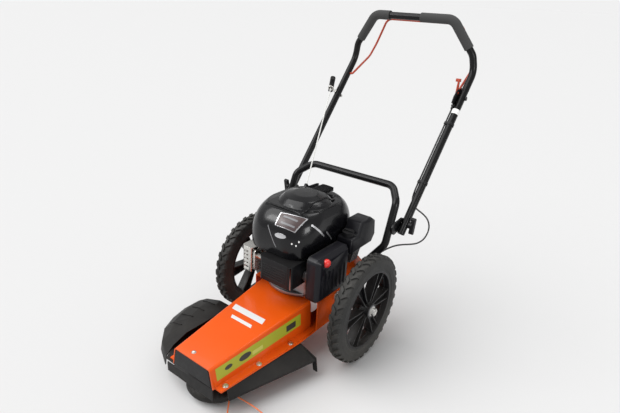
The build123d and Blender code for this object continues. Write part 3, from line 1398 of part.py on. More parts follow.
BAR_LEAN = Vector(0.18, 0.0, 1.0)  # the way the grip's bar points, before it is squared to the rope
BAR_DIR = (BAR_LEAN - ROPE_DIR * BAR_LEAN.dot(ROPE_DIR)).normalized()
with BuildPart() as starter_grip:
    neck = EYE_R + 2
    with BuildSketch(Plane(origin=Vector(*ROPE_EYE) + ROPE_DIR * (EYE_WIRE + 1), z_dir=ROPE_DIR)):
        Circle(neck - 2)
        Circle(ROPE_R, mode=Mode.SUBTRACT)
    extrude(amount=ROPE_TAIL - EYE_WIRE - 1)
    bar_middle = TAIL_END + ROPE_DIR * (GRIP_BAR_R - 3)
    with BuildSketch(Plane(origin=bar_middle - BAR_DIR * GRIP_BAR / 2, x_dir=ROPE_DIR, z_dir=BAR_DIR)):
        Circle(GRIP_BAR_R)
    extrude(amount=GRIP_BAR)
    with BuildSketch(Plane(origin=Vector(*ROPE_EYE), z_dir=ROPE_DIR)):
        Circle(ROPE_R)
    extrude(amount=ROPE_TAIL, mode=Mode.SUBTRACT)
save(starter_grip, "starter_grip")


# ================================================================ trimmer line: two lengths, four free ends
LINE_A = [
    (84.0, aft(-439.0), LINE_Z),
    (110.0, aft(-470.0), 22.0),
    (139.0, aft(-503.0), 19.0),
    (166.0, aft(-540.0), 14.0),
    (190.0, aft(-582.0), 9.0),
]
LINE_B = [
    (90.0, aft(-414.0), LINE_Z),
    (134.0, aft(-409.0), 22.0),
    (180.0, aft(-408.0), 18.0),
    (226.0, aft(-414.0), 13.0),
    (270.0, aft(-427.0), 8.0),
]


def half_turn(points):
    """The same line on the other side of the spindle."""
    return [(-x, 2 * SPINDLE_Y - y, z) for x, y, z in points]


for name, points in (
    ("line_a", LINE_A),
    ("line_b", LINE_B),
    ("line_c", half_turn(LINE_A)),
    ("line_d", half_turn(LINE_B)),
):
    cord_tube(points, LINE_R, name)
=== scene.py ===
"""The finished look of a walk-behind wheeled string trimmer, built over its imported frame.

Metres, +Z up. The machine drives towards -Y, and +X is on the right of someone who looks along +Y.
"""
import logging
import math
from dataclasses import dataclass, field
from enum import Enum
from typing import Iterable, Sequence

import bmesh
import bpy
from mathutils import Matrix, Vector
from mathutils.bvhtree import BVHTree


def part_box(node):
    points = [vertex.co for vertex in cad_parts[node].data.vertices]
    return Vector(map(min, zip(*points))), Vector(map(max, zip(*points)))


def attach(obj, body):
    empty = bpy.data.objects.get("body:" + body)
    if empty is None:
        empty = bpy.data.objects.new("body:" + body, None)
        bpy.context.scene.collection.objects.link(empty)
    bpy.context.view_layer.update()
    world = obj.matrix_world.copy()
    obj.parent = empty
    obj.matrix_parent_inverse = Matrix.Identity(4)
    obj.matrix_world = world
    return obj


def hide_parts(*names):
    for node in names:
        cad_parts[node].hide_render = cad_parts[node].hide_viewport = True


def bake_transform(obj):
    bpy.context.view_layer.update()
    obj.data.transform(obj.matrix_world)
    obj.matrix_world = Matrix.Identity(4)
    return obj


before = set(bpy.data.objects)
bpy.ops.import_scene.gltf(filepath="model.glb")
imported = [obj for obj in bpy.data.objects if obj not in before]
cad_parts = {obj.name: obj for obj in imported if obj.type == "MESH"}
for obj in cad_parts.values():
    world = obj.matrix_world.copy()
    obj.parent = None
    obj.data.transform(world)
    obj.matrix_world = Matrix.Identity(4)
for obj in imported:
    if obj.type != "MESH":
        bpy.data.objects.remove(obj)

LOG = logging.getLogger("trimmer")
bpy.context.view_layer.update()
MM = 0.001
MERGE = 3e-6
SKIN_SHARP = 32.0
Point = Sequence[float]


# ------------------------------------------------------------------ shader groups
class Effect(Enum):
    """The surface effects that several finishes share."""

    EDGES = "edge wear"
    GRAIN = "grain"
    DUST = "dust"


def new_group(name: str, inputs: dict[str, float], outputs: dict[str, str]) -> bpy.types.ShaderNodeTree:
    """Makes an empty shader group with named sockets.

    Args:
        name: the group's name.
        inputs: each input's name and default number.
        outputs: each output's name and socket type.

    Returns:
        The group, with its input and output nodes in it.
    """
    tree = bpy.data.node_groups.new(name, "ShaderNodeTree")
    for label, default in inputs.items():
        socket = tree.interface.new_socket(label, in_out="INPUT", socket_type="NodeSocketFloat")
        socket.default_value = default
    for label, kind in outputs.items():
        tree.interface.new_socket(label, in_out="OUTPUT", socket_type=kind)
    tree.nodes.new("NodeGroupInput").name = "in"
    tree.nodes.new("NodeGroupOutput").name = "out"
    return tree


def maths(tree: bpy.types.NodeTree, operation: str, a: object, b: object = 0.0) -> bpy.types.NodeSocket:
    """Adds a Math node.

    Args:
        tree: where it goes.
        operation: Blender's name for the operation.
        a: a socket or a number.
        b: a socket or a number.

    Returns:
        The result's socket.
    """
    node = tree.nodes.new("ShaderNodeMath")
    node.operation = operation
    for slot, value in enumerate((a, b)):
        if isinstance(value, bpy.types.NodeSocket):
            tree.links.new(value, node.inputs[slot])
        else:
            node.inputs[slot].default_value = value
    return node.outputs[0]


def noise(
    tree: bpy.types.NodeTree, scale: object, detail: float, roughness: float = 0.55
) -> bpy.types.NodeSocket:
    """Adds a noise on the piece's own coordinates.

    Args:
        tree: where it goes.
        scale: features for each metre, a socket or a number.
        detail: octaves.
        roughness: how strong the fine octaves are.

    Returns:
        The factor's socket.
    """
    place = tree.nodes.new("ShaderNodeTexCoord")
    node = tree.nodes.new("ShaderNodeTexNoise")
    node.inputs["Detail"].default_value = detail
    node.inputs["Roughness"].default_value = roughness
    tree.links.new(place.outputs["Object"], node.inputs["Vector"])
    if isinstance(scale, bpy.types.NodeSocket):
        tree.links.new(scale, node.inputs["Scale"])
    else:
        node.inputs["Scale"].default_value = scale
    return node.outputs[0]


def edge_group() -> bpy.types.ShaderNodeTree:
    """Rounds sharp edges in the shading, and masks where they are rubbed.

    Returns:
        The group.
    """
    steepness = 7.0
    gap = 0.42
    contrast = 5.0
    tree = new_group(
        Effect.EDGES.value,
        {"Radius": 0.001, "Amount": 0.5, "Breakup": 90.0},
        {"Mask": "NodeSocketFloat", "Normal": "NodeSocketVector"},
    )
    source, out = tree.nodes["in"], tree.nodes["out"]
    bevel = tree.nodes.new("ShaderNodeBevel")
    bevel.samples = 6
    tree.links.new(source.outputs["Radius"], bevel.inputs["Radius"])
    geometry = tree.nodes.new("ShaderNodeNewGeometry")
    dot = tree.nodes.new("ShaderNodeVectorMath")
    dot.operation = "DOT_PRODUCT"
    tree.links.new(bevel.outputs[0], dot.inputs[0])
    tree.links.new(geometry.outputs["Normal"], dot.inputs[1])
    turned = maths(tree, "SUBTRACT", 1.0, dot.outputs["Value"])
    worn = maths(tree, "MULTIPLY", turned, steepness)
    broken = maths(tree, "SUBTRACT", noise(tree, source.outputs["Breakup"], 5.0, 0.7), gap)
    mask = maths(tree, "MULTIPLY", worn, maths(tree, "MULTIPLY", broken, contrast))
    amount = maths(tree, "MULTIPLY", mask, source.outputs["Amount"])
    tree.links.new(maths(tree, "MINIMUM", maths(tree, "MAXIMUM", amount, 0.0), 1.0), out.inputs["Mask"])
    tree.links.new(bevel.outputs[0], out.inputs["Normal"])
    return tree


def grain_group() -> bpy.types.ShaderNodeTree:
    """Fine texture for the height, with a slower drift for tint and roughness.

    Returns:
        The group.
    """
    smear_scale = 5.3
    tree = new_group(
        Effect.GRAIN.value,
        {"Fine": 900.0, "Coarse": 9.0},
        {"Height": "NodeSocketFloat", "Drift": "NodeSocketFloat", "Smear": "NodeSocketFloat"},
    )
    source, out = tree.nodes["in"], tree.nodes["out"]
    tree.links.new(noise(tree, source.outputs["Fine"], 3.0, 0.6), out.inputs["Height"])
    tree.links.new(noise(tree, source.outputs["Coarse"], 4.0), out.inputs["Drift"])
    smear = maths(tree, "MULTIPLY", source.outputs["Coarse"], smear_scale)
    tree.links.new(noise(tree, smear, 6.0, 0.65), out.inputs["Smear"])
    return tree


def dust_group() -> bpy.types.ShaderNodeTree:
    """A thin settled dust on faces that look up, patchy and denser near the ground.

    Returns:
        The group.
    """
    dusty_below, clean_above = 0.02, 0.22
    level_share = 0.6
    tree = new_group(Effect.DUST.value, {"Amount": 0.1, "Patches": 14.0}, {"Mask": "NodeSocketFloat"})
    source, out = tree.nodes["in"], tree.nodes["out"]
    geometry = tree.nodes.new("ShaderNodeNewGeometry")
    facing = tree.nodes.new("ShaderNodeSeparateXYZ")
    tree.links.new(geometry.outputs["Normal"], facing.inputs[0])
    place = tree.nodes.new("ShaderNodeTexCoord")
    height = tree.nodes.new("ShaderNodeSeparateXYZ")
    tree.links.new(place.outputs["Object"], height.inputs[0])
    low = tree.nodes.new("ShaderNodeMapRange")
    low.inputs["From Min"].default_value = dusty_below
    low.inputs["From Max"].default_value = clean_above
    low.inputs["To Min"].default_value = 1.0
    low.inputs["To Max"].default_value = 0.0
    tree.links.new(height.outputs[2], low.inputs["Value"])
    up = maths(tree, "MAXIMUM", facing.outputs[2], 0.0)
    where = maths(tree, "ADD", maths(tree, "MULTIPLY", up, level_share), low.outputs[0])
    patchy = maths(tree, "MULTIPLY", where, noise(tree, source.outputs["Patches"], 8.0, 0.68))
    amount = maths(tree, "MULTIPLY", patchy, source.outputs["Amount"])
    tree.links.new(maths(tree, "MINIMUM", amount, 1.0), out.inputs["Mask"])
    return tree


EFFECTS = {Effect.EDGES: edge_group(), Effect.GRAIN: grain_group(), Effect.DUST: dust_group()}


@dataclass(frozen=True)
class Finish:
    """One surface finish: a colour with its drift, grain, rubbed edges and dust."""

    name: str
    slot: str
    colour: tuple[float, float, float]
    roughness: float
    metallic: float = 0.0
    drift: float = 0.12
    rough_drift: float = 0.15
    fine: float = 900.0
    coarse: float = 9.0
    bump: float = 0.1
    depth: float = 0.0002
    edge: float = 0.0008
    wear: float = 0.35
    worn: tuple[float, float, float] = (0.3, 0.3, 0.3)
    dust: float = 0.12
    dusty: tuple[float, float, float] = (0.36, 0.33, 0.28)
    coat: float = 0.0
    coat_roughness: float = 0.08
    specular: float = 0.5

    def material(self) -> bpy.types.Material:
        """Builds the material, or gives the one that was built before.

        Returns:
            The material.
        """
        made = bpy.data.materials.get(self.name)
        if made is not None:
            return made
        made = bpy.data.materials.new(self.name)
        made.use_nodes = True
        tree = made.node_tree
        shader = tree.nodes["Principled BSDF"]
        shader.inputs["Metallic"].default_value = self.metallic
        shader.inputs["Coat Weight"].default_value = self.coat
        shader.inputs["Coat Roughness"].default_value = self.coat_roughness
        shader.inputs["Specular IOR Level"].default_value = self.specular
        grain = self._effect(tree, Effect.GRAIN, {"Fine": self.fine, "Coarse": self.coarse})
        edges = self._effect(tree, Effect.EDGES, {"Radius": self.edge, "Amount": self.wear})
        dust = self._effect(tree, Effect.DUST, {"Amount": self.dust})
        dark = tuple(c * (1 - self.drift) for c in self.colour)
        light = tuple(min(1.0, c * (1 + self.drift)) for c in self.colour)
        tinted = self._mix(tree, grain.outputs["Drift"], dark, light)
        rubbed = self._mix(tree, edges.outputs["Mask"], tinted, self.worn)
        final = self._mix(tree, dust.outputs["Mask"], rubbed, self.dusty)
        tree.links.new(final, shader.inputs["Base Color"])
        span = tree.nodes.new("ShaderNodeMapRange")
        span.inputs["To Min"].default_value = max(0.03, self.roughness - self.rough_drift)
        span.inputs["To Max"].default_value = min(1.0, self.roughness + self.rough_drift)
        tree.links.new(grain.outputs["Smear"], span.inputs["Value"])
        tree.links.new(span.outputs[0], shader.inputs["Roughness"])
        bump = tree.nodes.new("ShaderNodeBump")
        bump.inputs["Strength"].default_value = self.bump
        bump.inputs["Distance"].default_value = self.depth
        tree.links.new(grain.outputs["Height"], bump.inputs["Height"])
        tree.links.new(edges.outputs["Normal"], bump.inputs["Normal"])
        tree.links.new(bump.outputs[0], shader.inputs["Normal"])
        return made

    @staticmethod
    def _effect(tree: bpy.types.NodeTree, effect: Effect, values: dict[str, float]) -> bpy.types.Node:
        """Places a shared group with its own values.

        Args:
            tree: the material's nodes.
            effect: which group.
            values: numbers for its named inputs.

        Returns:
            The group's node.
        """
        node = tree.nodes.new("ShaderNodeGroup")
        node.node_tree = EFFECTS[effect]
        for label, value in values.items():
            node.inputs[label].default_value = value
        return node

    @staticmethod
    def _mix(
        tree: bpy.types.NodeTree, mask: bpy.types.NodeSocket, a: object, b: object
    ) -> bpy.types.NodeSocket:
        """Mixes two colours by a mask.

        Args:
            tree: the material's nodes.
            mask: the share of the second colour.
            a: the first colour, a socket or fixed.
            b: the second colour, a socket or fixed.

        Returns:
            The mixed colour's socket.
        """
        node = tree.nodes.new("ShaderNodeMix")
        node.data_type = "RGBA"
        tree.links.new(mask, node.inputs[0])
        for slot, value in ((6, a), (7, b)):
            if isinstance(value, bpy.types.NodeSocket):
                tree.links.new(value, node.inputs[slot])
            else:
                node.inputs[slot].default_value = (*value, 1.0)
        return node.outputs[2]


ORANGE_ENAMEL = Finish(
    "orange enamel", "orange_paint", (0.66, 0.078, 0.001), 0.34, drift=0.06, rough_drift=0.07,
    specular=0.2, fine=260.0, bump=0.05, wear=0.3, worn=(0.32, 0.12, 0.06), dust=0.02, coat=0.12,
)
BLACK_ENAMEL = Finish(
    "black enamel", "black_paint", (0.004, 0.004, 0.0045), 0.3, specular=0.22, fine=500.0,
    bump=0.08, wear=0.2, worn=(0.08, 0.08, 0.08), dust=0.01,
)
RED_WIRE = Finish(
    "red wire coating", "red_paint", (0.36, 0.035, 0.008), 0.4, bump=0.1, wear=0.2, dust=0.02,
)
BLACK_PLASTIC = Finish(
    "black plastic", "black_plastic", (0.004, 0.004, 0.005), 0.45, specular=0.25, fine=1500.0,
    bump=0.25, wear=0.25, worn=(0.06, 0.06, 0.06), dust=0.04,
)
GUARD_PLASTIC = Finish(
    "guard plastic", "black_plastic", (0.004, 0.004, 0.005), 0.5, specular=0.18, fine=700.0,
    bump=0.35, wear=0.4, worn=(0.07, 0.07, 0.07), dust=0.07,
)
COWL_PLASTIC = Finish(
    "cowl plastic", "cowl_plastic", (0.003, 0.003, 0.004), 0.24, specular=0.25, fine=1800.0,
    bump=0.12, rough_drift=0.08, wear=0.25, worn=(0.05, 0.05, 0.05), dust=0.01, coat=0.2,
)
TANK_PLASTIC = Finish(
    "tank plastic", "black_plastic", (0.005, 0.005, 0.007), 0.38, specular=0.25, fine=1600.0,
    bump=0.2, dust=0.02,
)
FILTER_PLASTIC = Finish(
    "filter cover plastic", "grey_plastic", (0.005, 0.005, 0.008), 0.36, specular=0.25, fine=1300.0,
    bump=0.2, dust=0.03,
)
CAST_ALLOY = Finish(
    "cast alloy", "cast_alloy", (0.33, 0.33, 0.34), 0.45, metallic=1.0, fine=420.0, bump=0.5,
    depth=0.0005, wear=0.3, worn=(0.75, 0.75, 0.75), dust=0.1,
)
ZINC = Finish(
    "zinc plate", "zinc_steel", (0.66, 0.65, 0.62), 0.3, metallic=1.0, fine=900.0, bump=0.12,
    drift=0.18, wear=0.3, worn=(0.8, 0.8, 0.8), dust=0.05,
)
BARE_STEEL = Finish(
    "machined steel", "forged_steel", (0.42, 0.42, 0.42), 0.32, metallic=1.0, fine=1200.0,
    bump=0.15,
)
GUARD_STEEL = Finish(
    "plated guard steel", "zinc_steel", (0.62, 0.61, 0.58), 0.28, metallic=1.0, fine=600.0,
    bump=0.1, drift=0.25, coarse=22.0, dust=0.06,
)
TYRE_RUBBER = Finish(
    "tyre rubber", "tyre_rubber", (0.015, 0.015, 0.0145), 0.62, fine=800.0, bump=0.4, drift=0.2,
    wear=0.4, worn=(0.06, 0.058, 0.055), dust=0.16, specular=0.35,
)
RIM_PLASTIC = Finish(
    "rim plastic", "black_plastic", (0.005, 0.005, 0.006), 0.42, specular=0.25, fine=1200.0,
    bump=0.15, dust=0.08,
)
SOFT_RUBBER = Finish(
    "soft rubber", "rubber", (0.013, 0.013, 0.013), 0.55, fine=1500.0, bump=0.25, dust=0.03,
)
BULB_RUBBER = Finish(
    "bulb rubber", "bulb_rubber", (0.62, 0.02, 0.014), 0.3, drift=0.1, bump=0.08, wear=0.1,
    dust=0.02, coat=0.3,
)
FOAM = Finish(
    "foam", "foam", (0.005, 0.005, 0.005), 0.8, fine=2400.0, bump=0.7, depth=0.0006, wear=0.1,
    edge=0.002, dust=0.005, specular=0.15,
)
LINE_NYLON = Finish(
    "line nylon", "line_nylon", (0.75, 0.16, 0.03), 0.35, fine=300.0, bump=0.1, wear=0.1,
    edge=0.0003,
)
ROPE_FIBRE = Finish(
    "rope fibre", "rope_fibre", (0.6, 0.6, 0.58), 0.8, fine=2200.0, bump=0.8, depth=0.0004,
    wear=0.1, edge=0.0003, dust=0.05,
)
SILVER_TRIM = Finish(
    "silver trim", "zinc_steel", (0.62, 0.62, 0.64), 0.28, metallic=0.9, bump=0.05, wear=0.1,
    edge=0.0003,
)
GREY_TRIM = Finish(
    "grey trim", "grey_plastic", (0.17, 0.17, 0.18), 0.4, bump=0.05, wear=0.1, edge=0.0003,
)
PLATE_FACE = Finish(
    "plate face", "grey_plastic", (0.055, 0.035, 0.036), 0.32, bump=0.04, wear=0.1, edge=0.0003,
)
WHITE_LABEL = Finish(
    "white label", "grey_plastic", (0.78, 0.78, 0.77), 0.5, drift=0.04, bump=0.04, wear=0.1,
    edge=0.0003, dust=0.04,
)
MARK_WHITE = Finish(
    "mark white", "grey_plastic", (0.62, 0.62, 0.62), 0.5, drift=0.04, bump=0.04, wear=0.1,
    edge=0.0003, dust=0.04,
)
LABEL_STRIP = Finish(
    "label strip", "grey_plastic", (0.34, 0.36, 0.012), 0.42, drift=0.1, bump=0.04, wear=0.1,
    edge=0.0003, dust=0.04,
)
DARK_MARK = Finish(
    "dark print", "black_plastic", (0.02, 0.02, 0.015), 0.5, bump=0.03, wear=0.05, edge=0.0003,
)
BAND_YELLOW = Finish(
    "pale print", "grey_plastic", (0.5, 0.5, 0.09), 0.45, drift=0.06, bump=0.03, wear=0.05,
    edge=0.0003,
)


# ------------------------------------------------------------------ repeating with geometry nodes
class Repeat(Enum):
    """How a piece is repeated."""

    RING = "ring of pieces"
    ROW = "row of pieces"
    POINTS = "piece at points"


def _socket(tree: bpy.types.NodeTree, name: str, kind: str) -> None:
    """Adds a named input to a geometry tree."""
    tree.interface.new_socket(name, in_out="INPUT", socket_type=kind)


def repeat_tree(kind: Repeat) -> bpy.types.GeometryNodeTree:
    """Builds the tree that repeats a piece round an axis, along a step or at points.

    Args:
        kind: which of the three.

    Returns:
        The tree. It ends in Realize Instances and Set Material.
    """
    tree = bpy.data.node_groups.new(kind.value, "GeometryNodeTree")
    _socket(tree, "Geometry", "NodeSocketGeometry")
    _socket(tree, "Count", "NodeSocketInt")
    _socket(tree, "Centre", "NodeSocketVector")
    _socket(tree, "Step", "NodeSocketVector")
    _socket(tree, "Piece", "NodeSocketObject")
    _socket(tree, "Material", "NodeSocketMaterial")
    tree.interface.new_socket("Geometry", in_out="OUTPUT", socket_type="NodeSocketGeometry")
    nodes, links = tree.nodes, tree.links
    source, out = nodes.new("NodeGroupInput"), nodes.new("NodeGroupOutput")
    instance = nodes.new("GeometryNodeInstanceOnPoints")
    realize = nodes.new("GeometryNodeRealizeInstances")
    paint = nodes.new("GeometryNodeSetMaterial")
    if kind is Repeat.POINTS:
        info = nodes.new("GeometryNodeObjectInfo")
        links.new(source.outputs["Piece"], info.inputs["Object"])
        links.new(source.outputs["Geometry"], instance.inputs["Points"])
        links.new(info.outputs["Geometry"], instance.inputs["Instance"])
    else:
        line = nodes.new("GeometryNodeMeshLine")
        links.new(source.outputs["Count"], line.inputs["Count"])
        links.new(line.outputs[0], instance.inputs["Points"])
        back = nodes.new("ShaderNodeVectorMath")
        back.operation = "SCALE"
        back.inputs["Scale"].default_value = -1.0
        links.new(source.outputs["Centre"], back.inputs[0])
        shift = nodes.new("GeometryNodeTransform")
        links.new(source.outputs["Geometry"], shift.inputs["Geometry"])
        links.new(back.outputs[0], shift.inputs["Translation"])
        links.new(shift.outputs[0], instance.inputs["Instance"])
        if kind is Repeat.ROW:
            links.new(source.outputs["Step"], line.inputs["Offset"])
        else:
            line.inputs["Offset"].default_value = (0.0, 0.0, 0.0)
            index = nodes.new("GeometryNodeInputIndex")
            turn = nodes.new("ShaderNodeVectorMath")
            turn.operation = "SCALE"
            links.new(source.outputs["Step"], turn.inputs[0])
            links.new(index.outputs[0], turn.inputs["Scale"])
            links.new(turn.outputs[0], instance.inputs["Rotation"])
    links.new(instance.outputs[0], realize.inputs[0])
    home = nodes.new("GeometryNodeTransform")
    links.new(realize.outputs[0], home.inputs["Geometry"])
    links.new(source.outputs["Centre"], home.inputs["Translation"])
    links.new(home.outputs[0], paint.inputs["Geometry"])
    links.new(source.outputs["Material"], paint.inputs["Material"])
    links.new(paint.outputs[0], out.inputs[0])
    return tree


TREES = {kind: repeat_tree(kind) for kind in Repeat}


def linked(name: str, data: bpy.types.ID) -> bpy.types.Object:
    """Puts a mesh, curve, camera or lamp in the scene.

    Args:
        name: the object's name.
        data: what it shows.

    Returns:
        The object.
    """
    made = bpy.data.objects.new(name, data)
    bpy.context.scene.collection.objects.link(made)
    return made


def from_bmesh(name: str, shape: bmesh.types.BMesh) -> bpy.types.Object:
    """Turns a working mesh into an object, and frees it.

    Args:
        name: the object's name.
        shape: the working mesh.

    Returns:
        The object.
    """
    mesh = bpy.data.meshes.new(name)
    shape.to_mesh(mesh)
    shape.free()
    return linked(name, mesh)


def plain_mesh(obj: bpy.types.Object) -> bpy.types.Object:
    """Turns an object with its modifiers, or a curve, into an object with a plain mesh.

    Args:
        obj: the object, which is removed.

    Returns:
        The plain object, with the same name.
    """
    bpy.context.view_layer.update()
    graph = bpy.context.evaluated_depsgraph_get()
    mesh = bpy.data.meshes.new_from_object(
        obj.evaluated_get(graph), preserve_all_data_layers=True, depsgraph=graph
    )
    name = obj.name
    bpy.data.objects.remove(obj)
    return linked(name, mesh)


def repeated(
    piece: bpy.types.Object,
    kind: Repeat,
    finish: Finish,
    count: int = 1,
    centre: Point = (0, 0, 0),
    step: Point = (0, 0, 0),
    points: Sequence[Point] = (),
) -> bpy.types.Object:
    """Repeats a piece and gives the result as one plain mesh.

    Args:
        piece: the piece in its first place, or at the origin for points.
        kind: round an axis, along a step, or at points.
        finish: what the result is dressed in.
        count: how many.
        centre: a point of the axis that a ring turns about.
        step: the distance between pieces of a row, or a ring's turn between them as Euler angles.
        points: where each piece stands, for points.

    Returns:
        The repeated pieces as one object.
    """
    name = piece.name
    host = piece
    if kind is Repeat.POINTS:
        host = mesh_object(name + "_places", [tuple(p) for p in points], [])
    modifier = host.modifiers.new("repeat", "NODES")
    modifier.node_group = TREES[kind]
    values = {"Count": count, "Centre": Vector(centre), "Step": Vector(step), "Material": finish.material()}
    if kind is Repeat.POINTS:
        values["Piece"] = piece
    for item in TREES[kind].interface.items_tree:
        if item.in_out == "INPUT" and item.name in values:
            modifier[item.identifier] = values[item.name]
    made = plain_mesh(host)
    if kind is Repeat.POINTS:
        bpy.data.objects.remove(piece)
    made.name = name
    return made


# ------------------------------------------------------------------ shapes
def mesh_object(
    name: str, points: Sequence[Point], faces: Sequence[Sequence[int]], sharp: float = 35.0
) -> bpy.types.Object:
    """Makes a mesh object with smooth shading that breaks at sharp edges.

    Args:
        name: the piece's name.
        points: vertices, in metres.
        faces: vertex numbers of each face.
        sharp: degrees from which an edge stays sharp.

    Returns:
        The linked object.
    """
    mesh = bpy.data.meshes.new(name)
    mesh.from_pydata([tuple(p) for p in points], [], faces)
    mesh.validate()
    return shade(linked(name, mesh), sharp)


def shade(obj: bpy.types.Object, sharp: float = 35.0) -> bpy.types.Object:
    """Recalculates normals outwards, and shades the mesh smooth.

    Args:
        obj: the object.
        sharp: degrees from which an edge stays sharp.

    Returns:
        The same object.
    """
    shape = bmesh.new()
    shape.from_mesh(obj.data)
    if shape.faces:
        bmesh.ops.recalc_face_normals(shape, faces=shape.faces)
    shape.to_mesh(obj.data)
    shape.free()
    if obj.data.polygons:
        obj.data.shade_smooth()
        obj.data.set_sharp_from_angle(angle=math.radians(sharp))
    return obj


def merged(name: str, parts: Iterable[bpy.types.Object]) -> bpy.types.Object:
    """Joins several meshes into one object, keeping each part's materials.

    Args:
        name: the object's name.
        parts: the objects to join, which are removed.

    Returns:
        The joined object.
    """
    shape = bmesh.new()
    materials: list[bpy.types.Material] = []
    for part in parts:
        start = len(shape.faces)
        shape.from_mesh(part.data)
        shape.faces.ensure_lookup_table()
        for face in shape.faces[start:]:
            used = part.data.materials[face.material_index] if part.data.materials else None
            if used is not None and used not in materials:
                materials.append(used)
            face.material_index = materials.index(used) if used in materials else 0
        bpy.data.objects.remove(part)
    made = from_bmesh(name, shape)
    for used in materials:
        made.data.materials.append(used)
    return made


def lathe(
    name: str,
    profile: Sequence[tuple[float, float]],
    centre: Point,
    axis: str = "Z",
    steps: int = 96,
    closed: bool = False,
    sharp: float = 35.0,
) -> bpy.types.Object:
    """Turns a profile round an axis.

    Args:
        name: the piece's name.
        profile: (radius, distance along the axis) pairs.
        centre: a point of the axis that distances count from.
        axis: X or Z.
        steps: divisions of the full turn.
        closed: whether the profile's end joins its start, as in a ring.
        sharp: degrees from which an edge stays sharp.

    Returns:
        The turned piece.
    """
    points: list[Point] = []
    faces: list[list[int]] = []
    count = len(profile)
    for step in range(steps):
        angle = 2 * math.pi * step / steps
        for radius, along in profile:
            a, b = radius * math.cos(angle), radius * math.sin(angle)
            local = (along, a, b) if axis == "X" else (a, b, along)
            points.append([c + d for c, d in zip(centre, local)])
    for step in range(steps):
        following = (step + 1) % steps
        for k in range(count if closed else count - 1):
            n = (k + 1) % count
            here, there = step * count, following * count
            faces.append([here + k, here + n, there + n, there + k])
    made = mesh_object(name, points, faces, sharp)
    shape = bmesh.new()
    shape.from_mesh(made.data)
    bmesh.ops.remove_doubles(shape, verts=shape.verts, dist=1e-6)
    if not closed:
        bmesh.ops.holes_fill(shape, edges=shape.edges, sides=0)
    shape.to_mesh(made.data)
    shape.free()
    return shade(made, sharp)


def turned_ring(
    name: str, section: Sequence[tuple[float, float]], place: Vector, axis: Vector
) -> bpy.types.Object:
    """Turns a closed ring and stands it on any axis.

    Args:
        name: the piece's name.
        section: (radius, distance along the axis) pairs.
        place: the axis's point that distances count from.
        axis: the axis's direction.

    Returns:
        The ring.
    """
    ring = lathe(name, section, (0, 0, 0), "Z", 48, closed=True)
    turn = axis.to_track_quat("Z", "Y").to_matrix().to_4x4()
    ring.data.transform(Matrix.Translation(place) @ turn)
    return shade(ring)


def loft(name: str, rings: Sequence[Sequence[Point]], sharp: float = 35.0) -> bpy.types.Object:
    """Skins closed rings of equal length, and caps the first and last.

    Args:
        name: the piece's name.
        rings: the rings in order.
        sharp: degrees from which an edge stays sharp.

    Returns:
        The skinned piece.
    """
    count = len(rings[0])
    points = [p for ring in rings for p in ring]
    faces = []
    for level in range(len(rings) - 1):
        for k in range(count):
            n = (k + 1) % count
            lower, upper = level * count, (level + 1) * count
            faces.append([lower + k, lower + n, upper + n, upper + k])
    faces.append(list(range(count))[::-1])
    faces.append([(len(rings) - 1) * count + k for k in range(count)])
    return mesh_object(name, points, faces, sharp)


def rounded_box(name: str, low: Point, high: Point, radius: float) -> bpy.types.Object:
    """A box between two corners with rounded edges.

    Args:
        name: the piece's name.
        low: its lowest corner.
        high: its highest corner.
        radius: how round its edges are, in metres.

    Returns:
        The box.
    """
    shape = bmesh.new()
    bmesh.ops.create_cube(shape, size=1.0)
    size = [b - a for a, b in zip(low, high)]
    middle = [(a + b) / 2 for a, b in zip(low, high)]
    bmesh.ops.scale(shape, vec=size, verts=shape.verts)
    bmesh.ops.translate(shape, vec=middle, verts=shape.verts)
    bmesh.ops.bevel(shape, geom=shape.edges[:] + shape.verts[:], offset=min(radius, min(size) / 2.1),
                    segments=3, profile=0.5, affect="EDGES", clamp_overlap=True)
    return shade(from_bmesh(name, shape), 40.0)


def tube(name: str, line: Sequence[Vector], radius: float, sides: int) -> bpy.types.Object:
    """Sweeps a circle along a line, with closed ends.

    Args:
        name: the piece's name.
        line: points to follow.
        radius: in metres.
        sides: points round the circle.

    Returns:
        The tube.
    """
    rings = []
    side = None
    for index, place in enumerate(line):
        ahead = line[min(index + 1, len(line) - 1)] - line[max(index - 1, 0)]
        ahead.normalize()
        if side is None:
            side = ahead.orthogonal().normalized()
        side = (side - ahead * side.dot(ahead)).normalized()
        other = ahead.cross(side)
        turns = (2 * math.pi * k / sides for k in range(sides))
        rings.append([place + (side * math.cos(t) + other * math.sin(t)) * radius for t in turns])
    return loft(name, rings, 40.0)


def refined(node: str, bevel: float = 0.0) -> bpy.types.Object:
    """A merged copy of a CAD node, smooth shaded, with rounded edges if asked.

    Args:
        node: the CAD node.
        bevel: how far its edges are rounded, in metres.

    Returns:
        The new piece, named after the node.
    """
    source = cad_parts[node]
    shape = bmesh.new()
    shape.from_mesh(source.data)
    bmesh.ops.remove_doubles(shape, verts=shape.verts, dist=MERGE)
    if bevel:
        flat = math.radians(1.0)
        bmesh.ops.dissolve_limit(shape, angle_limit=flat, verts=shape.verts, edges=shape.edges)
        hard = [e for e in shape.edges if len(e.link_faces) == 2 and e.calc_face_angle() > math.radians(40)
                and e.calc_length() > 3 * bevel]
        bmesh.ops.bevel(shape, geom=hard, offset=bevel, segments=2, profile=0.5, affect="EDGES",
                        clamp_overlap=True)
    made = from_bmesh(node + "_skin", shape)
    made.data.shade_smooth()
    made.data.set_sharp_from_angle(angle=math.radians(SKIN_SHARP))
    return made


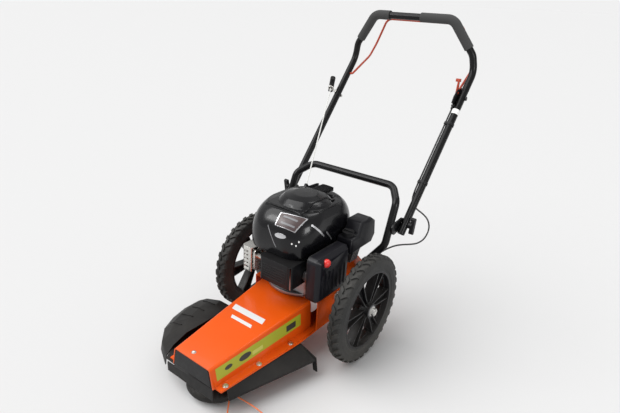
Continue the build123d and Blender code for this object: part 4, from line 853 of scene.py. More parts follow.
def islands(node: str) -> list[tuple[Vector, Vector]]:
    """Finds each separate solid of a CAD node.

    Args:
        node: the CAD node.

    Returns:
        The lowest and highest corner of each.
    """
    shape = bmesh.new()
    shape.from_mesh(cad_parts[node].data)
    bmesh.ops.remove_doubles(shape, verts=shape.verts, dist=MERGE)
    boxes: list[tuple[Vector, Vector]] = []
    left = set(shape.verts)
    while left:
        stack = [left.pop()]
        found = []
        while stack:
            vert = stack.pop()
            found.append(vert.co.copy())
            for edge in vert.link_edges:
                other = edge.other_vert(vert)
                if other in left:
                    left.discard(other)
                    stack.append(other)
        boxes.append((Vector(map(min, zip(*found))), Vector(map(max, zip(*found)))))
    shape.free()
    return boxes


def placed(
    obj: bpy.types.Object, finish: Finish, body: str, *nodes: str, dressed: bool = False
) -> bpy.types.Object:
    """Dresses a piece, puts it on a body and hides what it replaces.

    Args:
        obj: the finished piece.
        finish: its finish.
        body: the CAD body that it rides on.
        nodes: the CAD nodes that it stands for.
        dressed: whether its mesh has the finish's material already.

    Returns:
        The same piece.
    """
    if not dressed:
        obj.data.materials.clear()
        obj.data.materials.append(finish.material())
    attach(obj, body)
    if nodes:
        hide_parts(*nodes)
    LOG.info("%s rides on %s", obj.name, body)
    return obj


def blended(
    obj: bpy.types.Object, finish: Finish, bodies: tuple[str, str], node: str
) -> bpy.types.Object:
    """Dresses a piece that runs between two bodies.

    Args:
        obj: the finished piece.
        finish: its finish.
        bodies: the body at its start and the one at its end.
        node: the CAD node that it stands for.

    Returns:
        The same piece.
    """
    obj.data.materials.append(finish.material())
    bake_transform(obj)
    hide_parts(node)
    LOG.info("%s bends from %s to %s", obj.name, *bodies)
    return obj


def dress_node(finish: Finish, node: str) -> None:
    """Gives a CAD node that stays a finish.

    Args:
        finish: the finish.
        node: the CAD node.
    """
    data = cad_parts[node].data
    data.materials.clear()
    data.materials.append(finish.material())
    LOG.info("%s dressed in %s", node, finish.name)


# ------------------------------------------------------------------ raised prints and plates
class Outline(Enum):
    """The outline of a print."""

    QUAD = "quad"
    DISC = "disc"


def surface_of(*nodes: str) -> "Surface":
    """Gathers the CAD faces of some nodes, to lay prints on.

    Args:
        nodes: the CAD nodes.

    Returns:
        Their faces as one surface.
    """
    points: list[Vector] = []
    faces: list[tuple[int, ...]] = []
    for node in nodes:
        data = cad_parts[node].data
        start = len(points)
        points += [v.co.copy() for v in data.vertices]
        faces += [tuple(start + k for k in p.vertices) for p in data.polygons]
    return Surface(BVHTree.FromPolygons(points, faces))


@dataclass
class Surface:
    """Faces that a thin print is laid on."""

    tree: BVHTree

    def print_on(
        self,
        name: str,
        corners: Sequence[Point],
        towards: Point,
        outline: Outline = Outline.QUAD,
        lift: float = 0.0004,
        cells: tuple[int, int] = (16, 8),
        inner: float = 0.0,
    ) -> bpy.types.Object:
        """A thin sheet that follows the faces under it.

        Args:
            name: the piece's name.
            corners: four corners in order, near the surface.
            towards: the direction in which it is pressed on.
            outline: the four corners' quad, or the disc that fits in it.
            lift: how far it stands off the surface.
            cells: divisions along its first and second side.
            inner: the share of the outline that stays open, which makes it a border.

        Returns:
            The print.
        """
        a, b, c, d = (Vector(p) for p in corners)
        press = Vector(towards).normalized()
        columns, rows = cells
        tops, feet = [], []
        for j in range(rows + 1):
            for i in range(columns + 1):
                s, t = 2 * i / columns - 1, 2 * j / rows - 1
                if outline is Outline.DISC:
                    s, t = s * math.sqrt(1 - t * t / 2), t * math.sqrt(1 - s * s / 2)
                u, v = (s + 1) / 2, (t + 1) / 2
                place = a.lerp(b, u).lerp(d.lerp(c, u), v)
                hit = self.tree.ray_cast(place - press * 0.03, press, 0.06)[0] or place
                tops.append(hit - press * lift)
                feet.append(hit + press * lift)
        kept = []
        for j in range(rows):
            for i in range(columns):
                middle = max(abs(2 * (i + 0.5) / columns - 1), abs(2 * (j + 0.5) / rows - 1))
                if middle > inner:
                    k = j * (columns + 1) + i
                    kept.append((k, k + 1, k + columns + 2, k + columns + 1))
        count = len(tops)
        faces = list(kept)
        edges: dict[tuple[int, int], int] = {}
        for quad in kept:
            for p, q in zip(quad, quad[1:] + quad[:1]):
                edges[(p, q)] = edges.get((p, q), 0) + 1
        for p, q in list(edges):
            if (q, p) not in edges:
                faces.append((q, p, p + count, q + count))
        faces += [tuple(k + count for k in reversed(quad)) for quad in kept]
        return mesh_object(name, tops + feet, faces, 50.0)


# ------------------------------------------------------------------ camera and light
@dataclass(frozen=True)
class View:
    """Where the machine is looked at from."""

    place: tuple[float, float, float] = (0.88807, -1.27734, 1.07391)
    yaw: float = 0.6399
    pitch: float = 0.3953
    roll: float = 0.0512
    lens: float = 29.1

    def build(self) -> None:
        """Sets the camera up."""
        flat = math.cos(self.pitch)
        ahead = Vector((-math.sin(self.yaw) * flat, math.cos(self.yaw) * flat, -math.sin(self.pitch)))
        right = ahead.cross(Vector((0, 0, 1))).normalized()
        up = right.cross(ahead)
        across = right * math.cos(self.roll) + up * math.sin(self.roll)
        over = up * math.cos(self.roll) - right * math.sin(self.roll)
        data = bpy.data.cameras.new("camera")
        data.lens = self.lens
        data.sensor_width = 36.0
        data.clip_end = 2000.0
        camera = linked("camera", data)
        turn = Matrix((across, over, -ahead)).transposed().to_4x4()
        camera.matrix_world = Matrix.Translation(self.place) @ turn
        bpy.context.scene.camera = camera


@dataclass
class Studio:
    """A pale floor that runs into the backdrop, and soft lamps."""

    tone: float = 0.8
    half: float = 800.0
    backdrop: float = 0.88
    air: float = 0.5
    sun: float = 2.45
    sun_softness: float = 62.0
    sun_aim: Point = (0.55, 0.5, -1.0)
    aim: Point = (0.0, -0.1, 0.3)
    lamps: tuple[tuple[str, Point, float, float], ...] = (
        ("key", (-1.7, -2.2, 2.4), 1.1, 26.0),
        ("side", (2.6, -0.9, 1.5), 0.9, 26.0),
        ("top", (0.5, 0.9, 2.8), 1.2, 16.0),
    )

    def build(self) -> None:
        """Makes the floor, the world and the lamps."""
        floor = self._floor()
        self._world()
        data = bpy.data.lights.new("sky", "SUN")
        data.energy = self.sun
        data.angle = math.radians(self.sun_softness)
        sky = linked("sky", data)
        sky.rotation_euler = Vector(self.sun_aim).to_track_quat("-Z", "Y").to_euler()
        dark = bpy.data.collections.new("floor only")
        dark.objects.link(floor)
        for name, place, size, power in self.lamps:
            self._lamp(name, place, size, power, dark)

    def _floor(self) -> bpy.types.Object:
        """Makes the pale floor.

        Returns:
            The floor.
        """
        reach = self.half
        corners = [(-reach, -reach, 0), (reach, -reach, 0), (reach, reach, 0), (-reach, reach, 0)]
        floor = mesh_object("floor", corners, [(0, 1, 2, 3)])
        paper = bpy.data.materials.new("backdrop paper")
        paper.use_nodes = True
        shader = paper.node_tree.nodes["Principled BSDF"]
        shader.inputs["Base Color"].default_value = (self.tone, self.tone, self.tone, 1.0)
        shader.inputs["Roughness"].default_value = 0.85
        shader.inputs["Specular IOR Level"].default_value = 0.15
        floor.data.materials.append(paper)
        return floor

    def _world(self) -> None:
        """Makes the air, which lights the machine, and the backdrop, which the camera sees."""
        white = (1.0, 1.0, 1.0, 1.0)
        world = bpy.data.worlds.new("studio")
        bpy.context.scene.world = world
        world.use_nodes = True
        tree = world.node_tree
        air = tree.nodes["Background"]
        air.inputs["Color"].default_value = white
        air.inputs["Strength"].default_value = self.air
        seen = tree.nodes.new("ShaderNodeBackground")
        seen.inputs["Color"].default_value = white
        seen.inputs["Strength"].default_value = self.backdrop
        path = tree.nodes.new("ShaderNodeLightPath")
        mix = tree.nodes.new("ShaderNodeMixShader")
        tree.links.new(path.outputs["Is Camera Ray"], mix.inputs[0])
        tree.links.new(air.outputs[0], mix.inputs[1])
        tree.links.new(seen.outputs[0], mix.inputs[2])
        tree.links.new(mix.outputs[0], tree.nodes["World Output"].inputs[0])
        bpy.context.scene.view_settings.view_transform = "Standard"

    def _lamp(self, name: str, place: Point, size: float, power: float, dark: bpy.types.Collection) -> None:
        """Adds a square soft lamp that faces the machine.

        Args:
            name: the lamp's name.
            place: where it stands.
            size: its side in metres.
            power: its power in watts.
            dark: the objects that it leaves unlit.
        """
        data = bpy.data.lights.new(name, "AREA")
        data.size = size
        data.energy = power
        lamp = linked(name, data)
        lamp.location = place
        ahead = Vector(self.aim) - Vector(place)
        lamp.rotation_euler = ahead.to_track_quat("-Z", "Y").to_euler()
        lamp.light_linking.receiver_collection = dark
        for member in dark.collection_objects:
            member.light_linking.link_state = "EXCLUDE"


# ------------------------------------------------------------------ cords
def nurbs(name: str, route: Sequence[Point], radius: float) -> bpy.types.Object:
    """Draws a round cord as a NURBS curve.

    Args:
        name: the cord's name.
        route: its points in millimetres.
        radius: in millimetres.

    Returns:
        The curve.
    """
    data = bpy.data.curves.new(name, "CURVE")
    data.dimensions = "3D"
    data.bevel_depth = radius * MM
    data.bevel_resolution = 5
    data.resolution_u = 10
    data.use_fill_caps = True
    spline = data.splines.new("NURBS")
    spline.points.add(len(route) - 1)
    for point, place in zip(spline.points, route):
        point.co = (*(Vector(place) * MM), 1.0)
    spline.order_u = 3
    spline.use_endpoint_u = True
    return linked(name, data)


def nurbs_line(route: Sequence[Point]) -> list[Vector]:
    """Follows the NURBS line of a route.

    Args:
        route: its points in millimetres.

    Returns:
        Points along the line, in metres.
    """
    drawn = plain_mesh(nurbs("thin", route, 0.0))
    points = [v.co.copy() for v in drawn.data.vertices]
    bpy.data.objects.remove(drawn)
    return points


def length_of(points: Sequence[Vector]) -> float:
    """The length of a line of points."""
    return sum((b - a).length for a, b in zip(points, points[1:]))


@dataclass
class Cords:
    """Everything that bends: trimmer lines, control cable and starter rope."""

    line_radius: float = 2.0
    cable_radius: float = 2.75
    rope_radius: float = 2.2
    centre_y: float = -495.0
    line_a: tuple[Point, ...] = (
        (84, -529, 23), (110, -560, 22), (139, -593, 19), (166, -630, 14), (190, -672, 9),
    )
    line_b: tuple[Point, ...] = (
        (90, -504, 23), (134, -499, 22), (180, -498, 18), (226, -504, 13), (270, -517, 8),
    )
    loop: tuple[Point, ...] = (
        (227.08, 203.4, 508.54), (226.83, 182.93, 483.94), (224.5, 189, 450), (230, 217, 421),
        (238, 262, 391), (243, 306, 354), (245, 324, 314), (244, 298, 283), (241, 248, 281),
        (237, 196, 295), (231, 146, 311), (221, 100, 320), (201, 70, 308), (178, 54, 282),
        (158, 43, 250), (143.1, 36.5, 215.3), (130.5, 34, 186),
    )
    rope_start: Point = (-66.0, -24.0, 487.0)
    rope_eye: Point = (-262.0, 365.0, 748.0)
    rope_tail: float = 16.0
    rope_steps: int = 60
    tail_steps: int = 24
    rope_sides: int = 14

    def build(self) -> None:
        """Makes each cord."""
        self._lines()
        self._cable()
        self._rope()

    def _lines(self) -> None:
        """The four stiff trimmer lines, two pairs across the head."""
        pair = {"line_a": self.line_a, "line_b": self.line_b}
        for new, old in (("line_c", "line_a"), ("line_d", "line_b")):
            pair[new] = tuple((-x, 2 * self.centre_y - y, z) for x, y, z in pair[old])
        for node, route in pair.items():
            line = nurbs(node + "_cord", route, self.line_radius)
            line.data.materials.append(LINE_NYLON.material())
            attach(line, "spindle")
            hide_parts(node)
            length = length_of(nurbs_line(route))
            LOG.info("%s rides on spindle", line.name)

    def _cable(self) -> None:
        """The control cable: its loop runs between deck and handle."""
        points = nurbs_line(self.loop)
        loop = tube("cable_loop_cord", points, self.cable_radius * MM, 20)
        blended(loop, SOFT_RUBBER, ("handle", "chassis"), "cable_loop")
        dress_node(SOFT_RUBBER, "cable_lower")

    def _rope(self) -> None:
        """The starter rope from the cowl to its eye, and the short tail under the grip."""
        start, eye = Vector(self.rope_start) * MM, Vector(self.rope_eye) * MM
        points = [start.lerp(eye, k / self.rope_steps) for k in range(self.rope_steps + 1)]
        rope = tube("starter_rope_cord", points, self.rope_radius * MM, self.rope_sides)
        blended(rope, ROPE_FIBRE, ("chassis", "handle"), "starter_rope")
        end = eye + (eye - start).normalized() * self.rope_tail * MM
        tail_points = [eye.lerp(end, k / self.tail_steps) for k in range(self.tail_steps + 1)]
        tail = tube("rope_tail_cord", tail_points, self.rope_radius * MM, self.rope_sides)
        blended(tail, ROPE_FIBRE, ("handle", "starter"), "rope_tail")


# ------------------------------------------------------------------ wheels
@dataclass
class Wheel:
    """One spoked wheel with its chunky tyre."""

    side: str
    lugs: int = 34
    lug_height: float = 0.006
    lug_levels: int = 7
    lug_gap: float = 0.0015
    lug_margin: float = 0.0035
    lug_slant: float = 0.42
    lug_root: float = 0.002
    flat_share: float = 0.55
    shoulder_drop: float = 0.0062
    shoulder_root: float = 0.006
    hub_inset: float = 0.003
    low: Vector = field(init=False)
    high: Vector = field(init=False)

    def __post_init__(self) -> None:
        """Reads the tyre's place from the frame."""
        self.low, self.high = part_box("tyre_" + self.side)

    @property
    def centre(self) -> Vector:
        """The middle of the wheel."""
        return (self.low + self.high) / 2

    @property
    def body(self) -> str:
        """The wheel's CAD body."""
        return "wheel_" + self.side

    def build(self) -> None:
        """Builds tyre, lugs, rim and cap."""
        radius = (self.high.z - self.low.z) / 2
        half = (self.high.x - self.low.x) / 2
        rim_low, rim_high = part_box("rim_" + self.side)
        seat = (rim_high.z - rim_low.z) / 2
        tread = radius - self.lug_height
        profile = [
            (seat - 0.001, -half * 0.86), (seat + 0.003, -half * 0.9), (seat + 0.006, -half * 0.9),
            (seat + 0.008, -half * 0.96), (seat + 0.02, -half), (tread - 0.017, -half),
            (tread - 0.0155, -half * 0.97), (tread - 0.012, -half * 0.97),
            (tread - 0.006, -half * 0.9), (tread - 0.0015, -half * 0.74),
            (tread, -half * 0.45), (tread + 0.001, 0.0),
        ]
        profile += [(r, -x) for r, x in reversed(profile[:-1])]
        carcass = lathe("carcass", profile, self.centre, "X", 120, closed=True, sharp=28.0)
        blocks = [self._lugs(name, turn, flip) for name, turn, flip in
                  (("outer lugs", 0.0, 1), ("inner lugs", 0.5, -1))]
        carcass.data.materials.append(TYRE_RUBBER.material())
        tyre = merged("tyre_" + self.side + "_tread", [carcass, *blocks])
        placed(tyre, TYRE_RUBBER, self.body, "tyre_" + self.side, dressed=True)
        placed(refined("rim_" + self.side, bevel=0.0012), RIM_PLASTIC, self.body, "rim_" + self.side)
        self._cap()

    def _lugs(self, name: str, turn: float, flip: int) -> bpy.types.Object:
        """One side's slanted tread bars.

        Args:
            name: the piece's name.
            turn: how far the first bar is turned, in bar spacings.
            flip: which side of the tread they are on.

        Returns:
            The ring of bars.
        """
        half = (self.high.x - self.low.x) / 2
        radius = (self.high.z - self.low.z) / 2
        pitch = 2 * math.pi / self.lugs
        rings = []
        for level in range(self.lug_levels + 1):
            share = level / self.lug_levels
            across = flip * (self.lug_gap + share * (half - self.lug_margin))
            lean = pitch * (turn + self.lug_slant * math.sin(share * math.pi / 2))
            past = max(0.0, (share - self.flat_share) / (1 - self.flat_share))
            top = radius - self.shoulder_drop * past ** 2
            foot = radius - self.lug_height - self.lug_root - self.shoulder_root * share ** 3
            ring = []
            for angle, out in ((-0.24, foot), (-0.19, top), (0.19, top), (0.24, foot)):
                a = lean + angle * pitch
                place = Vector((across, out * math.sin(a), out * math.cos(a)))
                ring.append(self.centre + place)
            rings.append(ring)
        bar = loft(name, rings, 30.0)
        return repeated(bar, Repeat.RING, TYRE_RUBBER, self.lugs, self.centre, (pitch, 0, 0))

    def _cap(self) -> None:
        """Adds the pale hub ring on the rim's outer face."""
        sign = 1 if self.side == "right" else -1
        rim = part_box("rim_" + self.side)
        face = rim[1].x if sign > 0 else rim[0].x
        ring = [
            (0.0135, 0.0), (0.0175, 0.0), (0.0185, 0.0015),
            (0.0185, 0.003), (0.017, 0.0042), (0.0135, 0.0042),
        ]
        profile = [(r, sign * (x - self.hub_inset)) for r, x in ring]
        centre = (face, self.centre.y, self.centre.z)
        boss = lathe(self.side + "_hub_ring", profile, centre, "X", 48, closed=True)
        placed(boss, GREY_TRIM, self.body)


# ------------------------------------------------------------------ housing
@dataclass
class Housing:
    """Deck, belt cover and the guards round the cutting head."""

    shoulder: float = 0.006
    strip: tuple[Point, ...] = (
        (96.0, -568.0, 152.0), (112.0, -242.0, 172.0), (118.0, -242.0, 131.0), (101.0, -568.0, 116.0),
    )
    mark_slant: float = 6.0
    above_cover: float = 180.0
    rib_count: int = 4
    rib_reach: float = 0.055
    rib_width: float = 0.004
    rib_inset: float = 0.05
    rib_first: float = 0.11
    rib_spacing: float = 0.045
    rib_height: float = 0.12
    bolt_x: float = -0.015
    bolt_back: float = 0.0215
    bolt_z: float = 0.1596

    def build(self) -> None:
        """Builds the pressed parts and their prints."""
        placed(refined("belt_cover", bevel=self.shoulder), ORANGE_ENAMEL, "chassis", "belt_cover")
        placed(refined("deck", bevel=0.0009), ORANGE_ENAMEL, "chassis", "deck")
        placed(refined("debris_guard"), GUARD_PLASTIC, "chassis", "debris_guard")
        placed(refined("side_skirt", bevel=0.0012), GUARD_PLASTIC, "chassis", "side_skirt")
        placed(refined("spindle_housing", bevel=0.0012), CAST_ALLOY, "chassis", "spindle_housing")
        self.dress()

    def dress(self) -> None:
        """Adds blank marks, the label strip, the front panel, the guard's ribs and the front bolt."""
        cover = surface_of("belt_cover")
        self._marks(cover)
        self._label(cover)
        self._front(cover)
        self._guard_ribs()
        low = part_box("belt_cover")[0]
        head = [
            (0.0001, 0.0036), (0.0028, 0.0032), (0.0046, 0.0018),
            (0.005, 0.0), (0.0072, 0.0), (0.0072, -0.0012),
        ]
        bolt = lathe("cover_bolt", head, (self.bolt_x, low.y + self.bolt_back, self.bolt_z), "Z", 32)
        placed(bolt, ZINC, "chassis")

    def _marks(self, cover: Surface) -> None:
        """Lays two blank bars on top of the cover.

        Args:
            cover: the cover's faces.
        """
        slant, z = self.mark_slant, self.above_cover
        for name, left, right, y, height in (
            ("upper_mark", -74, 57, -357, 22),
            ("lower_mark", -46, 42, -394, 12),
        ):
            front, back = y - height / 2, y + height / 2
            corners = [(left + slant, front, z), (right, front, z), (right - slant, back, z), (left, back, z)]
            blank = cover.print_on(name, [Vector(p) * MM for p in corners], (0, 0, -1))
            placed(blank, MARK_WHITE, "chassis")

    def _label(self, cover: Surface) -> None:
        """Lays the label strip along the cover's right side, with blank shapes on it.

        Args:
            cover: the cover's faces.
        """
        inward = (-1, 0, 0)
        strip = cover.print_on("label_strip", [Vector(p) * MM for p in self.strip], inward, cells=(60, 8))
        placed(strip, LABEL_STRIP, "chassis")
        for name, along, up, half, height, finish, outline in (
            ("oval", 0.31, 0.5, 0.022, 0.5, DARK_MARK, Outline.DISC),
            ("front_square", 0.13, 0.55, 0.013, 0.34, DARK_MARK, Outline.DISC),
            ("rear_panel", 0.87, 0.45, 0.02, 0.5, DARK_MARK, Outline.QUAD),
            ("pale_block", 0.45, 0.35, 0.02, 0.3, BAND_YELLOW, Outline.QUAD),
        ):
            quad = self._on_strip(along, up, half, height)
            mark = cover.print_on("strip_" + name, quad, inward, outline, lift=0.0008)
            placed(mark, finish, "chassis")

    def _guard_ribs(self) -> None:
        """Adds stiffening ribs across the left guard."""
        guard = surface_of("debris_guard")
        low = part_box("debris_guard")[0]
        left, z = low.x + self.rib_inset, self.rib_height
        right = left + self.rib_reach
        for index in range(self.rib_count):
            front = low.y + self.rib_first + self.rib_spacing * index
            back = front + self.rib_width
            corners = [(left, front, z), (right, front, z), (right, back, z), (left, back, z)]
            rib = guard.print_on(f"guard_rib_{index}", corners, (0, 0, -1), lift=0.0022, cells=(30, 2))
            placed(rib, GUARD_PLASTIC, "chassis")

    def _on_strip(self, along: float, up: float, half: float, height: float) -> list[Vector]:
        """Four corners of a mark on the label strip.

        Args:
            along: where its middle is, as a share of the strip's length from the front.
            up: the same across the strip, from its lower edge.
            half: half its length in metres.
            height: its height as a share of the strip's.

        Returns:
            The corners.
        """
        a, b, c, d = (Vector(p) * MM for p in self.strip)
        reach = half / (b - a).length
        corners = []
        for u, v in ((along - reach, up + height / 2), (along + reach, up + height / 2),
                     (along + reach, up - height / 2), (along - reach, up - height / 2)):
            corners.append(d.lerp(c, u).lerp(a.lerp(b, u), v))
        return corners

    @staticmethod
    def _front(cover: Surface) -> None:
        """Adds the dark panel on the cover's front, and the guard's web beside the cover's flange.

        Args:
            cover: the cover's faces.
        """
        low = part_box("belt_cover")[0]
        plan = [(-75, 1), (-116, 1), (-134, 32), (-152, 62), (-172, 118), (-176, 240), (-80, 240)]
        levels = []
        for drop in (0.0028, 0.0004):
            levels.append([(x * MM, low.y + back * MM, low.z - drop) for x, back in plan])
        web = loft("guard_web", levels)
        placed(web, GUARD_PLASTIC, "chassis")
        inset = 0.004
        foot, head = low.z + 0.004, low.z + 0.055
        wide, narrow = 0.078 - inset, 0.068 - inset
        corners = [(-wide, low.y, foot), (wide, low.y, foot), (narrow, low.y, head), (-narrow, low.y, head)]
        panel = cover.print_on("front_panel", corners, (0, 1, 0), lift=0.0005, cells=(24, 10))
        placed(panel, BLACK_PLASTIC, "chassis")


# ------------------------------------------------------------------ engine
@dataclass
class Engine:
    """Everything of the engine that shows, with its trims and plates."""

    body: str = "chassis"
    panel_round: float = 0.0016
    slot_count: int = 8
    slot_rows: tuple[float, float] = (-78, -18)
    slot_length: float = 44
    slot_front: float = -58
    slot_width: float = 3.5
    slot_above: float = 500
    slot_step: Point = (0, 0.0085, -0.0004)
    bar_spread: float = 0.034
    bar_half: float = 0.024
    bar_thick: float = 0.003
    dot_half: float = 3
    cleaner_ribs: int = 7
    bezel_sink: float = 0.006
    louvre_count: int = 6
    louvre_margin: float = 0.018
    louvre_spacing: float = 0.0085
    recoil_ribs: int = 30

    def build(self) -> None:
        """Rounds the castings and mouldings, then dresses them."""
        for node, finish, bevel in (
            ("blower_shroud", COWL_PLASTIC, 0.0), ("recoil_cover", COWL_PLASTIC, 0.0),
            ("crankcase", CAST_ALLOY, 0.0015), ("cylinder", CAST_ALLOY, 0.0008),
            ("cylinder_shield", BLACK_PLASTIC, 0.002), ("muffler", GUARD_STEEL, 0.0008),
            ("muffler_guard", GUARD_STEEL, 0.0005), ("air_cleaner_base", BLACK_PLASTIC, 0.001),
            ("air_cleaner_cover", FILTER_PLASTIC, 0.003), ("carburettor", CAST_ALLOY, 0.001),
            ("fuel_tank", TANK_PLASTIC, 0.006), ("spark_plug", BLACK_PLASTIC, 0.0),
        ):
            placed(refined(node, bevel=bevel), finish, self.body, node)
        placed(refined("primer_bulb"), BULB_RUBBER, "primer", "primer_bulb")
        placed(refined("fuel_cap", bevel=0.0008), BLACK_PLASTIC, "fuel_cap", "fuel_cap")
        placed(refined("oil_cap", bevel=0.0008), BLACK_PLASTIC, "oil_cap", "oil_cap")
        placed(refined("flywheel", bevel=0.0006), CAST_ALLOY, "crank", "flywheel")
        placed(refined("crankshaft", bevel=0.0006), BARE_STEEL, "crank", "crankshaft")
        placed(refined("drive_pulley", bevel=0.0006), ZINC, "crank", "drive_pulley")
        placed(refined("recoil_reel", bevel=0.0006), BLACK_PLASTIC, "reel", "recoil_reel")
        self.dress()

    def dress(self) -> None:
        """Plates, trims, ribs and the primer's bezel."""
        self._hood()
        self._plates()
        self._ribs()
        self._bezel()
        self._grille()
        self._louvres()

    def _hood(self) -> None:
        """Adds raised panels on top of the cowl: hood, rear and side step, and two rows of slots."""
        top = surface_of("blower_shroud", "recoil_cover")
        down = (0, 0, -1)
        panels = (
            ("hood_panel", ((-86, -204), (56, -204), (62, -36), (-92, -36)), 480, 0.0052, (44, 44)),
            ("hood_rear", ((-78, -26), (48, -26), (34, 8), (-64, 8)), 476, 0.0042, (30, 14)),
            ("side_step", ((70, -158), (86, -146), (86, -46), (70, -36)), 466, 0.0036, (10, 36)),
        )
        for name, plan, height, lift, cells in panels:
            corners = [Vector((x, y, height)) * MM for x, y in plan]
            panel = top.print_on(name, corners, down, lift=lift, cells=cells)
            edge = panel.modifiers.new("round", "BEVEL")
            edge.width = self.panel_round
            edge.segments = 2
            edge.limit_method = "ANGLE"
            placed(shade(plain_mesh(panel), 40.0), COWL_PLASTIC, self.body)
        front, z = self.slot_front, self.slot_above
        back = front + self.slot_width
        for row, left in enumerate(self.slot_rows):
            right = left + self.slot_length
            quad = [(left, front, z), (right, front, z), (right, back, z), (left, back, z)]
            corners = [Vector(p) * MM for p in quad]
            slot = top.print_on(f"hood_slots_{row}", corners, down, lift=0.0066, cells=(16, 2))
            slots = repeated(slot, Repeat.ROW, BLACK_PLASTIC, self.slot_count, step=self.slot_step)
            placed(slots, BLACK_PLASTIC, self.body, dressed=True)

    def _plates(self) -> None:
        """Adds the framed blank plate, the oval badge, dots and strips on the cowl."""
        cowl = surface_of("blower_shroud")
        press = (-0.25, 0.72, -0.62)
        plate = [(-6, -247, 440), (64, -236, 433), (76, -190, 466), (-6, -221, 473)]
        corners = [Vector(p) * MM for p in plate]
        face = cowl.print_on("plate_face", corners, press, lift=0.0009, cells=(36, 18))
        placed(face, PLATE_FACE, self.body)
        border = cowl.print_on("plate_border", corners, press, lift=0.0019, cells=(48, 30), inner=0.93)
        placed(border, SILVER_TRIM, self.body)
        middle = sum(corners, Vector()) / 4
        across = (corners[1] - corners[0]).normalized()
        over = (corners[3] - corners[0]).normalized()
        reach, thick = across * self.bar_half, over * self.bar_thick
        for name, shift in (("plate_upper_bar", 0.3), ("plate_lower_bar", -0.3)):
            centre = middle + over * shift * self.bar_spread
            quad = [centre - reach - thick, centre + reach - thick, centre + reach + thick,
                    centre - reach + thick]
            placed(cowl.print_on(name, quad, press, lift=0.0018, cells=(10, 2)), GREY_TRIM, self.body)
        badge = [(2, -258, 408), (44, -252, 411), (42, -251, 425), (4, -254, 424)]
        corners = [Vector(p) * MM for p in badge]
        oval = cowl.print_on("oval_badge", corners, (-0.1, 0.95, -0.25), Outline.DISC, lift=0.001)
        placed(oval, SILVER_TRIM, self.body)
        half = self.dot_half
        for index, (x, y, z) in enumerate(((62, -247.7, 401), (73, -241.5, 396), (78, -234.6, 408))):
            quad = [(x - half, y, z - half), (x + half, y, z - half), (x + half, y, z + half),
                    (x - half, y, z + half)]
            corners = [Vector(p) * MM for p in quad]
            dot = cowl.print_on(f"dot_{index}", corners, (-0.55, 0.8, -0.1), Outline.DISC)
            placed(dot, WHITE_LABEL, self.body)
        self._lines(cowl)

    def _lines(self, cowl: Surface) -> None:
        """Adds silver strips on the right of the cowl and grey trim lines on its left.

        Args:
            cowl: the cowl's faces.
        """
        strips = (
            ("right_strip", (88, -192, 452), (104, -146, 404), 3.0, (-0.9, 0.3, -0.35), SILVER_TRIM),
            ("rear_strip", (105, -134, 414), (105, -104, 380), 2.4, (-1, 0, 0), SILVER_TRIM),
            ("left_line", (-30, -250.8, 434), (-8, -258, 405), 1.4, (0, 0.95, -0.3), GREY_TRIM),
            ("left_line_low", (-8, -258, 405), (11, -259.5, 377), 1.4, (0, 1, 0), GREY_TRIM),
        )
        for name, start, end, half, press, finish in strips:
            a, b = Vector(start), Vector(end)
            side = (b - a).cross(Vector(press)).normalized() * half
            quad = [(a - side) * MM, (b - side) * MM, (b + side) * MM, (a + side) * MM]
            placed(cowl.print_on(name, quad, press, lift=0.0008, cells=(24, 2)), finish, self.body)

    def _ribs(self) -> None:
        """Upright ribs on the air cleaner's outer face."""
        low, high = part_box("air_cleaner_cover")
        pitch = (high.y - low.y - 0.05) / (self.cleaner_ribs - 1)
        face = low.x + (high.x - low.x) * 0.8
        rib = rounded_box("cleaner_ribs", (face - 0.003, low.y + 0.023, low.z + 0.022),
                          (face + 0.0015, low.y + 0.027, high.z - 0.055), 0.0014)
        ribs = repeated(rib, Repeat.ROW, FILTER_PLASTIC, self.cleaner_ribs, step=(0, pitch, 0))
        placed(ribs, FILTER_PLASTIC, self.body, dressed=True)

    def _bezel(self) -> None:
        """A pale ring round the primer bulb."""
        low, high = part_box("primer_bulb")
        centre = (low + high) / 2
        aim = Vector((0.78, -0.2, 0.59)).normalized()
        section = [(0.0138, 0.0), (0.0165, 0.0), (0.0165, 0.0022), (0.0138, 0.0022)]
        ring = turned_ring("primer_bezel", section, centre - aim * self.bezel_sink, aim)
        placed(ring, GREY_TRIM, self.body)

    def _louvres(self) -> None:
        """Low louvres on the front of the cylinder's shield."""
        low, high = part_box("cylinder_shield")
        margin = self.louvre_margin
        louvre = rounded_box("shield_louvres", (low.x + margin, low.y - 0.0012, low.z + 0.014),
                             (high.x - margin, low.y + 0.002, low.z + 0.0165), 0.0008)
        step = (0, 0, self.louvre_spacing)
        louvres = repeated(louvre, Repeat.ROW, BLACK_PLASTIC, self.louvre_count, step=step)
        placed(louvres, BLACK_PLASTIC, self.body, dressed=True)

    def _grille(self) -> None:
        """Radial air slots drawn as raised bars on the recoil cover's slope."""
        low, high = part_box("recoil_cover")
        centre = (low + high) / 2
        radius = (high.x - low.x) / 2
        bar = rounded_box("recoil_ribs", (centre.x + radius - 0.036, centre.y - 0.0016, high.z - 0.0092),
                          (centre.x + radius - 0.022, centre.y + 0.0016, high.z - 0.0052), 0.0012)
        turn = (0, 0, 2 * math.pi / self.recoil_ribs)
        ribs = repeated(bar, Repeat.RING, COWL_PLASTIC, self.recoil_ribs, centre, turn)
        placed(ribs, COWL_PLASTIC, self.body, dressed=True)


